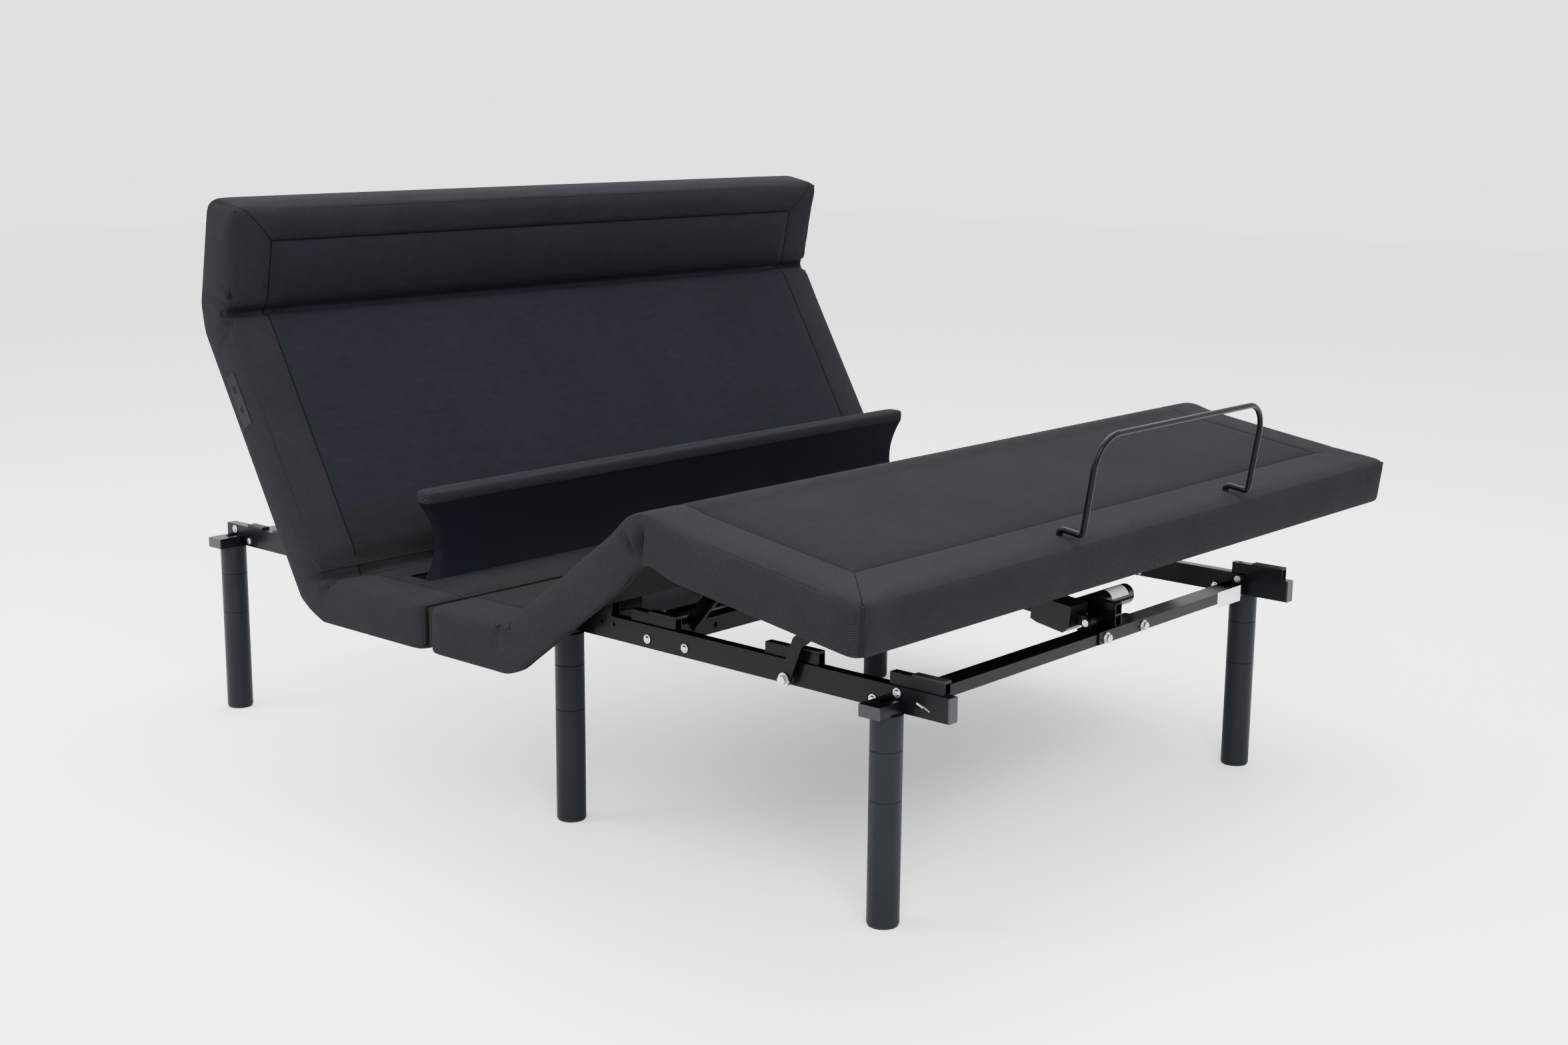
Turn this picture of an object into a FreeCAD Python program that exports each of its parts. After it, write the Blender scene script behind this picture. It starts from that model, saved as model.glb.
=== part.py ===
import FreeCAD, Part
import math
import os

# Adjustable bed base, millimetres. +Z is up, X runs across the bed, the head is towards +Y and the
# foot towards -Y. Everything is drawn with the middle legs at y = 0 and every deck panel lying flat.
# The panels are then turned about their hinges into the raised position, and the whole bed is moved
# along Y so that the origin lies on the floor under the middle of its outline.

V = FreeCAD.Vector

origin_y = 80.0            # from the middle legs to the middle of the raised outline

# ---- deck: overall sizes -------------------------------------------------------------------------
deck_w = 1580.0            # width over the upholstered sides
side_h = 80.0              # height of the upholstered side
pad_t = 4.0                # padding on top of a board
board_t = 9.0              # plywood board
skirt_t = 8.0              # foam and cloth on the outside of a side board
side_board_t = 18.0        # timber strip under the edge of a board
side_board_h = 58.0
split_y = 82.0             # the gap where the base parts into two halves
split_gap = 10.0
back_hinge_y = 368.0
back_len = 524.0           # back hinge to pillow hinge
tilt_len = 198.0           # pillow hinge to the head edge
thigh_hinge_y = -113.7
thigh_len = 376.0          # thigh hinge to knee hinge
foot_len = 447.0           # knee hinge to the foot edge
hinge_depth = 14.0         # hinge axis below the mattress surface
play = 1.0                 # room left between neighbouring panels at the end of their travel
crease_set = 12.0          # boards stop this much short of a padded edge that folds inwards

# ---- raised position, degrees --------------------------------------------------------------------
back_angle = 60.0
tilt_angle = 40.5          # pillow panel, beyond the back
thigh_angle = 36.8
foot_slope = 8.5           # the foot panel falls away to the foot
knee_angle = thigh_angle + foot_slope

# ---- steel frame ---------------------------------------------------------------------------------
rail_out = 525.0           # outer face of a side rail from the centre line
rail_w = 20.0
rail_h = 40.0
tube_wall = 1.8
rail_z = 340.0             # underside of the rails, and the height of the legs; other heights follow it
rail_foot_y = -807.0
rail_head_y = 1038.0
cap_t = 3.0                # plastic plug flange
bar_w = 40.0               # flat tube used for crossbars and leg arms
bar_h = 20.0
leg_y = [-702.0, 0.0, 1003.0]      # crossbars, and the legs on the left
middle_leg_shift = 185.0   # the right-hand middle leg stands this far nearer the head
leg_x = 538.0
leg_r = 26.0
leg_low_h = 200.0
leg_mid_h = 80.0
glide_t = 3.0
arm_out = 582.0            # end of a leg arm from the centre line
arm_slot_r = 7.0
arm_slot_len = 30.0
plate_t = 4.0              # welded plates inside the rails
bolt_r = 4.0
bolt_gap = 0.1             # radial room round a bolt
washer_r = 7.5
washer_t = 1.5
riser_w = 16.0             # small tubes that carry the flat panels, flush with the inner face of a rail
riser_h = 20.0
riser_y = [(-797.0, -693.0), (-551.0, -439.0), (-239.0, -136.0), (560.0, 670.0)]
riser_hole_r = 5.0
rest_pad_t = 3.0           # felt on a riser
seat_block_y = [(-92.0, -30.0), (10.0, 66.0), (98.0, 190.0), (290.0, 346.0)]
bump_y = [(835.0, 885.0), (921.0, 970.0)]
bump_t = 5.0
joint_bolt_y = [-265.0, -178.0]
joint_bolt_z = rail_z + 16.0
rest_gap = 1.0             # room between the felt and the board lying on it

# ---- hinges --------------------------------------------------------------------------------------
hinge_x = [-650.0, -250.0, 250.0, 650.0]
leaf_w = 60.0
leaf_len = 40.0
leaf_t = 2.0
knuckle_r = 5.0
hinge_pin_r = 2.5
pin_gap = 0.05             # radial room of a turning pin
side_gap = 0.5             # room beside a part that turns

# ---- head and foot lifting gear ------------------------------------------------------------------
roller_r = 14.0
roller_w = 24.0
roller_pin_r = 5.0
roller_gap = 0.3           # room between a roller and its board
torque_r = 15.0
torque_hole_r = 5.0        # drilled hole near each end of the foot torque tube
torque_hole_x = 345.0
bearing_half = 20.0        # half the width of a bearing plate
bearing_wall = 3.5         # steel left under the shaft in a bearing plate
stub_r = 8.0
lift_arm_w = 32.0
lift_arm_t = 8.0
crank_t = 8.0
crank_pin_r = 5.0
eye_play = 0.9             # room round a crank pin in the slotted rod eye
foot_axis = (-150.0, rail_z + 5.0)
foot_arm_x = 395.0
foot_arm_len = 273.0
foot_crank_len = 85.0
foot_crank_z = rail_z + 47.0       # height of the crank pin with the bed flat
head_axis = (400.0, rail_z + 25.0)
head_arm_x = 330.0
head_arm_len = 300.0
head_crank_len = 75.0
head_crank_back = 30.8     # crank angle short of straight down with the bed flat
act_foot_x = 27.0
act_foot_pivot = (-692.0, rail_z + 33.0)
act_head_x = -60.0
act_head_pivot = (leg_y[1], rail_z - 45.0)
act_pin_r = 6.0
act_lug_r = 9.0            # rear eye of an actuator and the cheeks beside it
fork_depth = 26.0          # from the crank pin to the root of the rod fork
box_len = 90.0             # gearbox
box_h = 50.0
box_w = 52.0
motor_r = 19.0
motor_len = 168.0
act_tube_r = 15.0
act_rod_r = 9.0
foot_tube_len = 300.0
head_tube_len = 200.0
fork_t = 6.0

# ---- foot links ----------------------------------------------------------------------------------
link_pivot = (-495.0, rail_z + 11.0)
link_end_drop = 43.0       # upper pivot below the mattress surface with the bed flat
link_w = 22.0
link_t = 5.0
link_x = 533.0             # inner face of the link from the centre line
link_rise = rail_z + 44.0          # centre of the bent link over the leg arm with the bed flat
link_play = 0.9            # room round the upper pivot in its slotted eye

# ---- pillow tilt gear ----------------------------------------------------------------------------
horn_len = 50.0
horn_back = 20.0
tilt_act_x = 60.0
tilt_act_start = 210.0     # rear pivot from the back hinge
tilt_act_drop = 40.0
small_tube_r = 11.0
small_rod_r = 6.0
small_tube_len = 215.0

# ---- lumbar bar ----------------------------------------------------------------------------------
lumbar_y = 238.0
lumbar_d = 44.0
lumbar_half = 664.0
lumbar_rise = 129.0        # underside of the raised bar above the mattress surface
lumbar_h = 26.0
lumbar_gap = 6.0           # room round the bar in its slot
core_wall = 8.0
post_x = 250.0
post_r = 10.0
post_low = rail_z - 5.0
guide_r = 16.0
guide_drop = 18.0          # the bridge of a guide hangs this far under the board
guide_t = 6.0
skirt_drop = 25.0          # lower edge of the stretch sleeve below the mattress surface
skirt_wall = 2.0

# ---- retainer bar --------------------------------------------------------------------------------
wire_r = 5.0
hoop_half = 254.0
hoop_from_edge = 49.0
hoop_reach = 42.0
hoop_foot_h = 14.0
hoop_h = 172.0
hoop_bend = 52.0
hoop_small_bend = 8.0
grommet_r = 12.0
grommet_t = 2.0
wire_gap = 0.4

# ---- electrics -----------------------------------------------------------------------------------
usb_u = 370.0              # centre of the socket panel from the back hinge
usb_drop = 30.0
usb_len = 100.0
usb_h = 27.0
usb_t = 4.0
box_size = (190.0, 105.0, 40.0)
psu_size = (160.0, 70.0, 36.0)
cable_r = 3.5
lead_gap = 3.0             # a lead ends this far off the motor it feeds

# ---- worked-out places ---------------------------------------------------------------------------
half = deck_w / 2
right_leg_y = [leg_y[0], leg_y[1] + middle_leg_shift, leg_y[2]]
rail_top = rail_z + rail_h
deck_top = rail_top + riser_h + rest_pad_t + rest_gap + board_t + pad_t
board_half = half - skirt_t
deck_low = deck_top - side_h
axis_z = deck_top - hinge_depth
board_top = deck_top - pad_t
board_low = board_top - board_t
rail_in = rail_out - rail_w
plate_in = rail_in - plate_t
knee_y = thigh_hinge_y - thigh_len
tilt_hinge_y = back_hinge_y + back_len
head_edge = tilt_hinge_y + tilt_len
foot_edge = knee_y - foot_len


def concave_setback(angle):
    """Distance a panel stops short of a hinge that folds upwards."""
    return hinge_depth * math.tan(math.radians(angle / 2)) + play


back_set = concave_setback(back_angle)
tilt_set = concave_setback(tilt_angle)
thigh_set = concave_setback(thigh_angle)
board_set = knuckle_r + 1.5
knee_low_set = (side_h - hinge_depth) * math.tan(math.radians(knee_angle / 2)) + 1.5 * play


# ---- drawing helpers -----------------------------------------------------------------------------
def box(x0, x1, y0, y1, z0, z1):
    return Part.makeBox(x1 - x0, y1 - y0, z1 - z0, V(x0, y0, z0))


def rod_x(x0, x1, y, z, r):
    return Part.makeCylinder(r, x1 - x0, V(x0, y, z), V(1, 0, 0))


def rod_y(y0, y1, x, z, r):
    return Part.makeCylinder(r, y1 - y0, V(x, y0, z), V(0, 1, 0))


def rod_z(z0, z1, x, y, r):
    return Part.makeCylinder(r, z1 - z0, V(x, y, z0), V(0, 0, 1))


def plate_x(points, x0, x1):
    """A flat plate of thickness x1 - x0 with the outline given as (y, z) points."""
    corners = [V(x0, y, z) for y, z in points]
    face = Part.Face(Part.makePolygon(corners + corners[:1]))
    return face.extrude(V(x1 - x0, 0, 0))


def bar_x(p, q, w, x0, x1):
    """A flat bar with round ends, from (y, z) point p to point q, lying between x0 and x1."""
    length = math.hypot(q[0] - p[0], q[1] - p[1])
    turn = math.degrees(math.atan2(q[1] - p[1], q[0] - p[0]))
    body = box(x0, x1, 0, length, -w / 2, w / 2)
    body = body.fuse([rod_x(x0, x1, 0, 0, w / 2), rod_x(x0, x1, length, 0, w / 2)]).removeSplitter()
    body.rotate(V(0, 0, 0), V(1, 0, 0), turn)
    body.translate(V(0, p[0], p[1]))
    return body


def tube(outer, inner):
    return outer.cut(inner)


def square_tube_y(x0, x1, y0, y1, z0, z1, wall=tube_wall):
    return tube(box(x0, x1, y0, y1, z0, z1), box(x0 + wall, x1 - wall, y0 - 1, y1 + 1, z0 + wall, z1 - wall))


def square_tube_x(x0, x1, y0, y1, z0, z1, wall=tube_wall):
    return tube(box(x0, x1, y0, y1, z0, z1), box(x0 - 1, x1 + 1, y0 + wall, y1 - wall, z0 + wall, z1 - wall))


def hexagon_x(x0, x1, y, z, r):
    corners = [(y + r * math.cos(a * math.pi / 3), z + r * math.sin(a * math.pi / 3)) for a in range(6)]
    return plate_x(corners, x0, x1)


def hexagon_y(y0, y1, x, z, r):
    points = [V(x + r * math.cos(a * math.pi / 3), y0, z + r * math.sin(a * math.pi / 3)) for a in range(6)]
    return Part.Face(Part.makePolygon(points + points[:1])).extrude(V(0, y1 - y0, 0))


def turned(point, centre, angle):
    """A (y, z) point turned about another one, anticlockwise seen from +X."""
    a = math.radians(angle)
    y = point[0] - centre[0]
    z = point[1] - centre[1]
    return (centre[0] + y * math.cos(a) - z * math.sin(a), centre[1] + y * math.sin(a) + z * math.cos(a))


def turn(shape, centre, angle):
    out = shape.copy()
    out.rotate(V(0, centre[0], centre[1]), V(1, 0, 0), angle)
    return out


def mirrored(shape):
    return shape.mirror(V(0, 0, 0), V(1, 0, 0))


def both(shape):
    return [shape, mirrored(shape)]


def rounded_path(points, radius):
    """A wire of straight runs through the points, with a tangent arc of the given radius at each turn."""
    edges = []
    start = points[0]
    for i in range(1, len(points) - 1):
        before = (points[i - 1] - points[i]).normalize()
        after = (points[i + 1] - points[i]).normalize()
        half_turn = (math.pi - before.getAngle(after)) / 2
        back = radius[i - 1] * math.tan(half_turn)
        first = points[i] + before * back
        last = points[i] + after * back
        middle = (before + after).normalize()
        reach = radius[i - 1] / math.cos(half_turn) - radius[i - 1]
        edges.append(Part.LineSegment(start, first).toShape())
        edges.append(Part.Arc(first, points[i] + middle * reach, last).toShape())
        start = last
    edges.append(Part.LineSegment(start, points[-1]).toShape())
    return Part.Wire(edges)


def wire_solid(points, radius, r):
    """A round wire or cable along a rounded path."""
    path = rounded_path(points, radius)
    along = (points[1] - points[0]).normalize()
    profile = Part.Wire(Part.Circle(points[0], along, r).toShape())
    return path.makePipeShell([profile], True, True)


# ---- which way each moving group is turned -------------------------------------------------------
back_axis = (back_hinge_y, axis_z)
tilt_axis = (tilt_hinge_y, axis_z)
thigh_axis = (thigh_hinge_y, axis_z)
knee_axis = (knee_y, axis_z)


def raise_back(shape):
    return turn(shape, back_axis, back_angle)


def raise_tilt(shape):
    return raise_back(turn(shape, tilt_axis, tilt_angle))


def raise_thigh(shape):
    return turn(shape, thigh_axis, -thigh_angle)


def raise_foot(shape):
    return raise_thigh(turn(shape, knee_axis, knee_angle))


def keep(shape):
    return shape


nodes = {}


def add(name, shapes, move=keep):
    """Put finished solids in a node, moved from the flat drawing to the raised position."""
    solids = []
    for shape in shapes if isinstance(shapes, list) else [shapes]:
        solids.extend(move(shape).Solids)
    nodes.setdefault(name, []).extend(solids)


# ==== side rails, crossbars and legs ==============================================================
def leg_side(y):
    """+1 where the second bolt of a leg arm is on the head side of the leg, otherwise -1."""
    return -1 if y == leg_y[-1] else 1


def arm_bolts(y):
    return [(y - 9.0 * leg_side(y), rail_top - 10.0), (y + 38.0 * leg_side(y), rail_z + 11.0)]


def each_leg(make):
    """The parts make(y) of every leg: drawn on the right, and mirrored for the left."""
    return [make(y) for y in right_leg_y] + [mirrored(make(y)) for y in leg_y]


def make_rail(legs):
    rail = square_tube_y(rail_in, rail_out, rail_foot_y, rail_head_y, rail_z, rail_top)
    holes = [spot for y in legs for spot in arm_bolts(y)]
    holes += [(y, joint_bolt_z) for y in joint_bolt_y]
    cuts = [rod_x(rail_in - 1, rail_out + 1, y, z, bolt_r + bolt_gap) for y, z in holes]
    cuts.append(rod_x(rail_in - 1, rail_out + 1, link_pivot[0], link_pivot[1], bolt_r + bolt_gap))
    cuts += [rod_x(rail_out - 2 * tube_wall, rail_out + 1, y, rail_top - 13, 3.0) for y in (-98.0, -68.0)]
    return rail.cut(cuts)


def make_rail_caps():
    caps = []
    for y, way in ((rail_foot_y, -1), (rail_head_y, 1)):
        inner = tube_wall
        plug_a = min(y, y - way * 12)
        plug = box(rail_in + inner, rail_out - inner, plug_a, plug_a + 12, rail_z + inner, rail_top - inner)
        flange_a = min(y, y + way * cap_t)
        caps.append(plug.fuse(box(rail_in, rail_out, flange_a, flange_a + cap_t, rail_z, rail_top)))
    return caps


def make_arm(y):
    arm = square_tube_x(rail_out, arm_out - cap_t, y - bar_w / 2, y + bar_w / 2, rail_z, rail_z + bar_h)
    reach = arm_slot_len / 2 - arm_slot_r
    top = rail_z + bar_h
    slot = box(leg_x - reach, leg_x + reach, y - arm_slot_r, y + arm_slot_r, top - 2 * tube_wall, top + 1)
    slot = slot.fuse([rod_z(top - 2 * tube_wall, top + 1, leg_x + side * reach, y, arm_slot_r)
                      for side in (-1, 1)])
    return arm.cut([slot, rod_z(rail_z - 1, rail_z + 2 * tube_wall, leg_x, y, bolt_r + bolt_gap)])


def make_arm_cap(y):
    wall = tube_wall
    plug = box(arm_out - cap_t - 10, arm_out - cap_t, y - bar_w / 2 + wall, y + bar_w / 2 - wall,
               rail_z + wall, rail_z + bar_h - wall)
    return plug.fuse(box(arm_out - cap_t, arm_out, y - bar_w / 2, y + bar_w / 2, rail_z, rail_z + bar_h))


def make_leg_segment(y, z0, z1):
    edge = 0.8
    body = rod_z(z0 + edge, z1 - edge, leg_x, y, leg_r)
    low = Part.makeCone(leg_r - edge, leg_r, edge, V(leg_x, y, z0))
    high = Part.makeCone(leg_r, leg_r - edge, edge, V(leg_x, y, z1 - edge))
    body = body.fuse([low, high]).removeSplitter()
    return body.cut(rod_z(z0 - 1, z1 + 1, leg_x, y, bolt_r + bolt_gap))


def make_leg_stud(y):
    head_z = rail_z + tube_wall
    shaft = rod_z(glide_t + 60, head_z + 1, leg_x, y, bolt_r)
    return shaft.fuse(rod_z(head_z, head_z + 5, leg_x, y, 6.5))


def make_pressed_bolt(y, z):
    """A washer and domed head outside the rail, a shank through it and a nut on the inside plate."""
    shank = rod_x(plate_in - 8, rail_out + washer_t, y, z, bolt_r)
    washer = rod_x(rail_out, rail_out + washer_t, y, z, washer_r)
    head = Part.makeCone(5.5, 3.5, 2.2, V(rail_out + washer_t, y, z), V(1, 0, 0))
    nut = hexagon_x(plate_in - 6, plate_in, y, z, 7.0)
    return shank.fuse([washer, head, nut])


def make_leg_plate(y):
    side = leg_side(y)
    ys = sorted((y - 20 * side, y + 52 * side))
    plate = box(plate_in, rail_in, ys[0], ys[1], rail_z + 1, rail_top - 1)
    return plate.cut([rod_x(plate_in - 1, rail_in + 1, a, b, bolt_r + bolt_gap) for a, b in arm_bolts(y)])


def make_joint_plate():
    plate = box(plate_in, rail_in, joint_bolt_y[0] - 20, joint_bolt_y[1] - 24, rail_z + 1, rail_top - 1)
    tab = box(plate_in, rail_in, joint_bolt_y[1] - 24, joint_bolt_y[1] + 6, rail_z + 1, rail_top - 1)
    plate = plate.fuse(tab).removeSplitter()
    return plate.cut([rod_x(plate_in - 1, rail_in + 1, y, joint_bolt_z, bolt_r + bolt_gap)
                      for y in joint_bolt_y])


def make_crossbar(y, reach):
    return square_tube_x(-reach, reach, y - bar_w / 2, y + bar_w / 2, rail_z, rail_z + bar_h)


add("side_rail_left", mirrored(make_rail(leg_y)))
add("side_rail_right", make_rail(right_leg_y))
add("tube_end_caps", [s for cap in make_rail_caps() for s in both(cap)])
add("leg_arms", each_leg(make_arm))
add("tube_end_caps", each_leg(make_arm_cap))
leg_low_top = glide_t + leg_low_h
leg_mid_top = leg_low_top + leg_mid_h
add("leg_upper_segments", each_leg(lambda y: make_leg_segment(y, leg_mid_top, rail_z)))
add("leg_middle_segments", each_leg(lambda y: make_leg_segment(y, leg_low_top, leg_mid_top)))
add("leg_lower_segments", each_leg(lambda y: make_leg_segment(y, glide_t, leg_low_top)))
add("rubber_pads", each_leg(lambda y: rod_z(0, glide_t, leg_x, y, leg_r - 2)))
add("leg_studs", each_leg(make_leg_stud))
add("rail_plates", each_leg(make_leg_plate))
for bolt in range(2):
    add("rail_bolts", each_leg(lambda y: make_pressed_bolt(*arm_bolts(y)[bolt])))
add("rail_bolts", [s for y in joint_bolt_y for s in both(make_pressed_bolt(y, joint_bolt_z))])
add("rail_plates", both(make_joint_plate()))

# ---- risers, felt pads and seat blocks on top of the rails ---------------------------------------
riser_x0 = rail_in
riser_x1 = riser_x0 + riser_w
for y0, y1 in riser_y:
    riser = square_tube_y(riser_x0, riser_x1, y0, y1, rail_top, rail_top + riser_h)
    hole_y = y1 - 14 if y0 < 0 else y0 + 14
    top = rail_top + riser_h
    riser = riser.cut(rod_z(top - 2 * tube_wall, top + 1, riser_x0 + riser_w / 2, hole_y, riser_hole_r))
    add("panel_risers", both(riser))
    pad_ends = (y0, y0 + 62) if y0 < 0 else (y1 - 62, y1)
    add("rubber_pads", both(box(riser_x0, riser_x1, pad_ends[0], pad_ends[1], top, top + rest_pad_t)))
for y0, y1 in bump_y:
    add("rubber_pads", both(box(rail_in + 1, rail_out - 1, y0, y1, rail_top, rail_top + bump_t)))
for y0, y1 in seat_block_y:
    add("panel_risers", both(square_tube_y(rail_in, rail_out, y0, y1, rail_top, board_low)))

# ---- crossbars -----------------------------------------------------------------------------------
foot_bar_y = leg_y[0]
head_bar_y = leg_y[2]
sleeve = (8.0, 160.0)
sleeve_t = 3.0
sleeve_bolt_x = (30.0, 146.0)
stack_x = (60.0, 80.0)
foot_bar = make_crossbar(foot_bar_y, plate_in)
bar_mid_z = rail_z + bar_h / 2
bar_front = foot_bar_y - bar_w / 2
bar_back = foot_bar_y + bar_w / 2
sleeve_low = rail_z + 1
sleeve_top = rail_z + bar_h + sleeve_t
sleeve_body = box(sleeve[0], sleeve[1], bar_front - sleeve_t, bar_back + sleeve_t, sleeve_low, sleeve_top)
sleeve_hollow = box(sleeve[0] - 1, sleeve[1] + 1, bar_front, bar_back, sleeve_low - 1, rail_z + bar_h)
sleeve_body = sleeve_body.cut(sleeve_hollow)
bolt_holes = [rod_y(bar_front - 9, bar_back + 9, x, bar_mid_z, bolt_r + bolt_gap) for x in sleeve_bolt_x]
add("foot_crossbar", foot_bar.cut(bolt_holes))
add("crossbar_sleeve", sleeve_body.cut(bolt_holes))
for x in sleeve_bolt_x:
    front = bar_front - sleeve_t
    back = bar_back + sleeve_t
    bolt = rod_y(front - 2, back + 8, x, bar_mid_z, bolt_r)
    flange = rod_y(front - 2, front, x, bar_mid_z, 10.0)
    bolt = bolt.fuse([flange, hexagon_y(front - 8, front - 2, x, bar_mid_z, 7.5)])
    add("hex_bolts", bolt.fuse(hexagon_y(back, back + 6, x, bar_mid_z, 7.5)))
stack_back = act_foot_pivot[0] + 27.0
stack_low = square_tube_y(stack_x[0], stack_x[1], bar_front, stack_back, sleeve_top, sleeve_top + 20)
stack_high = square_tube_y(stack_x[0], stack_x[1], bar_front, stack_back, sleeve_top + 20, sleeve_top + 40)
add("crossbar_sleeve", [stack_low, stack_high])
add("crossbars", make_crossbar(leg_y[1], plate_in))
add("crossbars", make_crossbar(head_bar_y, plate_in))


# ==== deck panels =================================================================================
def side_strip(y0, y1, z0, z1, x0, x1, cut0=0.0, cut1=0.0):
    """A strip along the side of a panel; its lower corners may be cut back to clear the knee."""
    knee_share = (axis_z - z0) / (axis_z - deck_low)
    low0 = y0 + cut0 * knee_share
    low1 = y1 - cut1 * knee_share
    points = [(low0, z0), (low1, z0), (y1, min(axis_z, z1)), (y1, z1), (y0, z1), (y0, min(axis_z, z1))]
    clean = [p for i, p in enumerate(points) if p != points[i - 1]]
    return plate_x(clean, x0, x1)


def make_panel(name, y0, y1, move, cut0=0.0, cut1=0.0, board0=0.0, board1=0.0, end=0, slot=None):
    """Board, timber edge strips and padded cover of one deck panel, drawn flat from y0 to y1."""
    inner0 = y0 + (skirt_t if end < 0 else 0)
    inner1 = y1 - (skirt_t if end > 0 else 0)
    board = box(-board_half, board_half, inner0 + board0, inner1 - board1, board_low, board_top)
    pad = box(-board_half, board_half, inner0, inner1, board_top, deck_top)
    if slot:
        board = board.cut(slot)
        pad = pad.cut(slot)
    strip_low = board_low - side_board_h
    strip = side_strip(inner0 + board0, inner1 - board1, strip_low, board_low,
                       board_half - side_board_t, board_half, cut0, cut1)
    skirt = side_strip(y0, y1, deck_low, deck_top, board_half, half, cut0, cut1)
    add(name + "_board", [board], move)
    strips = both(strip)
    covers = [pad] + both(skirt)
    if end:
        edge = y0 if end < 0 else y1 - skirt_t
        covers.append(box(-board_half, board_half, edge, edge + skirt_t, deck_low, deck_top))
        edge = inner0 if end < 0 else inner1 - side_board_t
        reach = board_half - side_board_t
        strips.append(box(-reach, reach, edge, edge + side_board_t, strip_low, board_low))
    add(name + "_board", strips, move)
    add(name + "_pad", covers, move)


slot_half = lumbar_half + lumbar_gap
slot_y0 = lumbar_y - lumbar_d / 2 - lumbar_gap
slot_y1 = lumbar_y + lumbar_d / 2 + lumbar_gap
lumbar_slot = box(-slot_half, slot_half, slot_y0, slot_y1, board_low - 5, deck_top + 5)
seat_a = (split_y + split_gap / 2, back_hinge_y - back_set)
seat_b = (thigh_hinge_y + thigh_set, split_y - split_gap / 2)
make_panel("seat_rear", seat_a[0], seat_a[1], keep, board1=crease_set, slot=lumbar_slot)
make_panel("seat_front", seat_b[0], seat_b[1], keep, board0=crease_set)
make_panel("back", back_hinge_y + back_set, tilt_hinge_y - tilt_set, raise_back,
           board0=crease_set, board1=crease_set)
make_panel("pillow", tilt_hinge_y + tilt_set, head_edge, raise_tilt, board0=crease_set, end=1)
make_panel("thigh", knee_y + play, thigh_hinge_y - thigh_set, raise_thigh, cut0=knee_low_set,
           board0=board_set, board1=crease_set)
make_panel("foot", foot_edge, knee_y - play, raise_foot, cut1=knee_low_set, board1=board_set, end=-1)


# ---- hinges between the panels -------------------------------------------------------------------
def hinge_parts(y, x, parent_way):
    """One butt hinge on the axis at y: parent leaf on the side parent_way, child leaf and pin."""
    third = leaf_w / 3
    plate_z = board_low - leaf_t
    made = []
    for way, spans in ((parent_way, ((0, third), (2 * third, leaf_w))), (-parent_way, ((third, 2 * third),))):
        ys = sorted((y + way * (knuckle_r + 1.5), y + way * leaf_len))
        leaf = box(x - leaf_w / 2, x + leaf_w / 2, ys[0], ys[1], plate_z, board_low)
        for a, b in spans:
            x0 = x - leaf_w / 2 + a + (side_gap if a else 0)
            x1 = x - leaf_w / 2 + b - (side_gap if b < leaf_w else 0)
            neck = sorted((y, y + way * (knuckle_r + 2.5)))
            leaf = leaf.fuse([rod_x(x0, x1, y, axis_z, knuckle_r),
                              box(x0, x1, neck[0], neck[1], plate_z, board_low)])
        made.append(leaf.cut(rod_x(x - leaf_w, x + leaf_w, y, axis_z, hinge_pin_r + pin_gap)))
    pin = rod_x(x - leaf_w / 2 - 1, x + leaf_w / 2 + 1, y, axis_z, hinge_pin_r)
    return made[0], made[1], pin


for x in hinge_x:
    parent, child, pin = hinge_parts(back_hinge_y, x, -1)
    add("seat_hinges", parent)
    add("seat_hinges", pin)
    add("back_hinges", child, raise_back)
    parent, child, pin = hinge_parts(thigh_hinge_y, x, 1)
    add("seat_hinges", parent)
    add("seat_hinges", pin)
    add("thigh_hinges", child, raise_thigh)
    parent, child, pin = hinge_parts(tilt_hinge_y, x, -1)
    add("back_hinges", parent, raise_back)
    add("back_hinges", pin, raise_back)
    add("pillow_hinges", child, raise_tilt)
    parent, child, pin = hinge_parts(knee_y, x, 1)
    add("thigh_hinges", parent, raise_thigh)
    add("thigh_hinges", pin, raise_thigh)
    add("foot_hinges", child, raise_foot)


# ==== lifting gear ================================================================================
roller_drop = board_low - axis_z - roller_r - roller_gap


def arm_angle(axis, hinge, arm_len, panel_angle, way):
    """Angle of a lift arm above the level, so that its roller just meets the board of the panel."""
    dy = way * (axis[0] - hinge[0])
    dz = axis[1] - hinge[1]
    a = math.radians(panel_angle)
    rise = (roller_drop + dy * math.sin(a) - dz * math.cos(a)) / arm_len
    return panel_angle + math.degrees(math.asin(rise))


def along(point, angle, length, way):
    a = math.radians(angle)
    return (point[0] + way * length * math.cos(a), point[1] + length * math.sin(a))


foot_arm_flat = arm_angle(foot_axis, thigh_axis, foot_arm_len, 0.0, -1)
foot_arm_up = arm_angle(foot_axis, thigh_axis, foot_arm_len, thigh_angle, -1)
head_arm_flat = arm_angle(head_axis, back_axis, head_arm_len, 0.0, 1)
head_arm_up = arm_angle(head_axis, back_axis, head_arm_len, back_angle, 1)
foot_roller = along(foot_axis, foot_arm_up, foot_arm_len, -1)
head_roller = along(head_axis, head_arm_up, head_arm_len, 1)
foot_crank_flat = math.degrees(math.asin((foot_crank_z - foot_axis[1]) / foot_crank_len))
foot_crank_up = foot_crank_flat + foot_arm_up - foot_arm_flat
foot_crank = along(foot_axis, foot_crank_up, foot_crank_len, -1)
foot_crank_low = along(foot_axis, foot_crank_flat, foot_crank_len, -1)
head_crank_flat = -90.0 - head_crank_back
head_crank_up = head_crank_flat + head_arm_up - head_arm_flat
head_crank = along(head_axis, head_crank_up, head_crank_len, 1)
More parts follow.
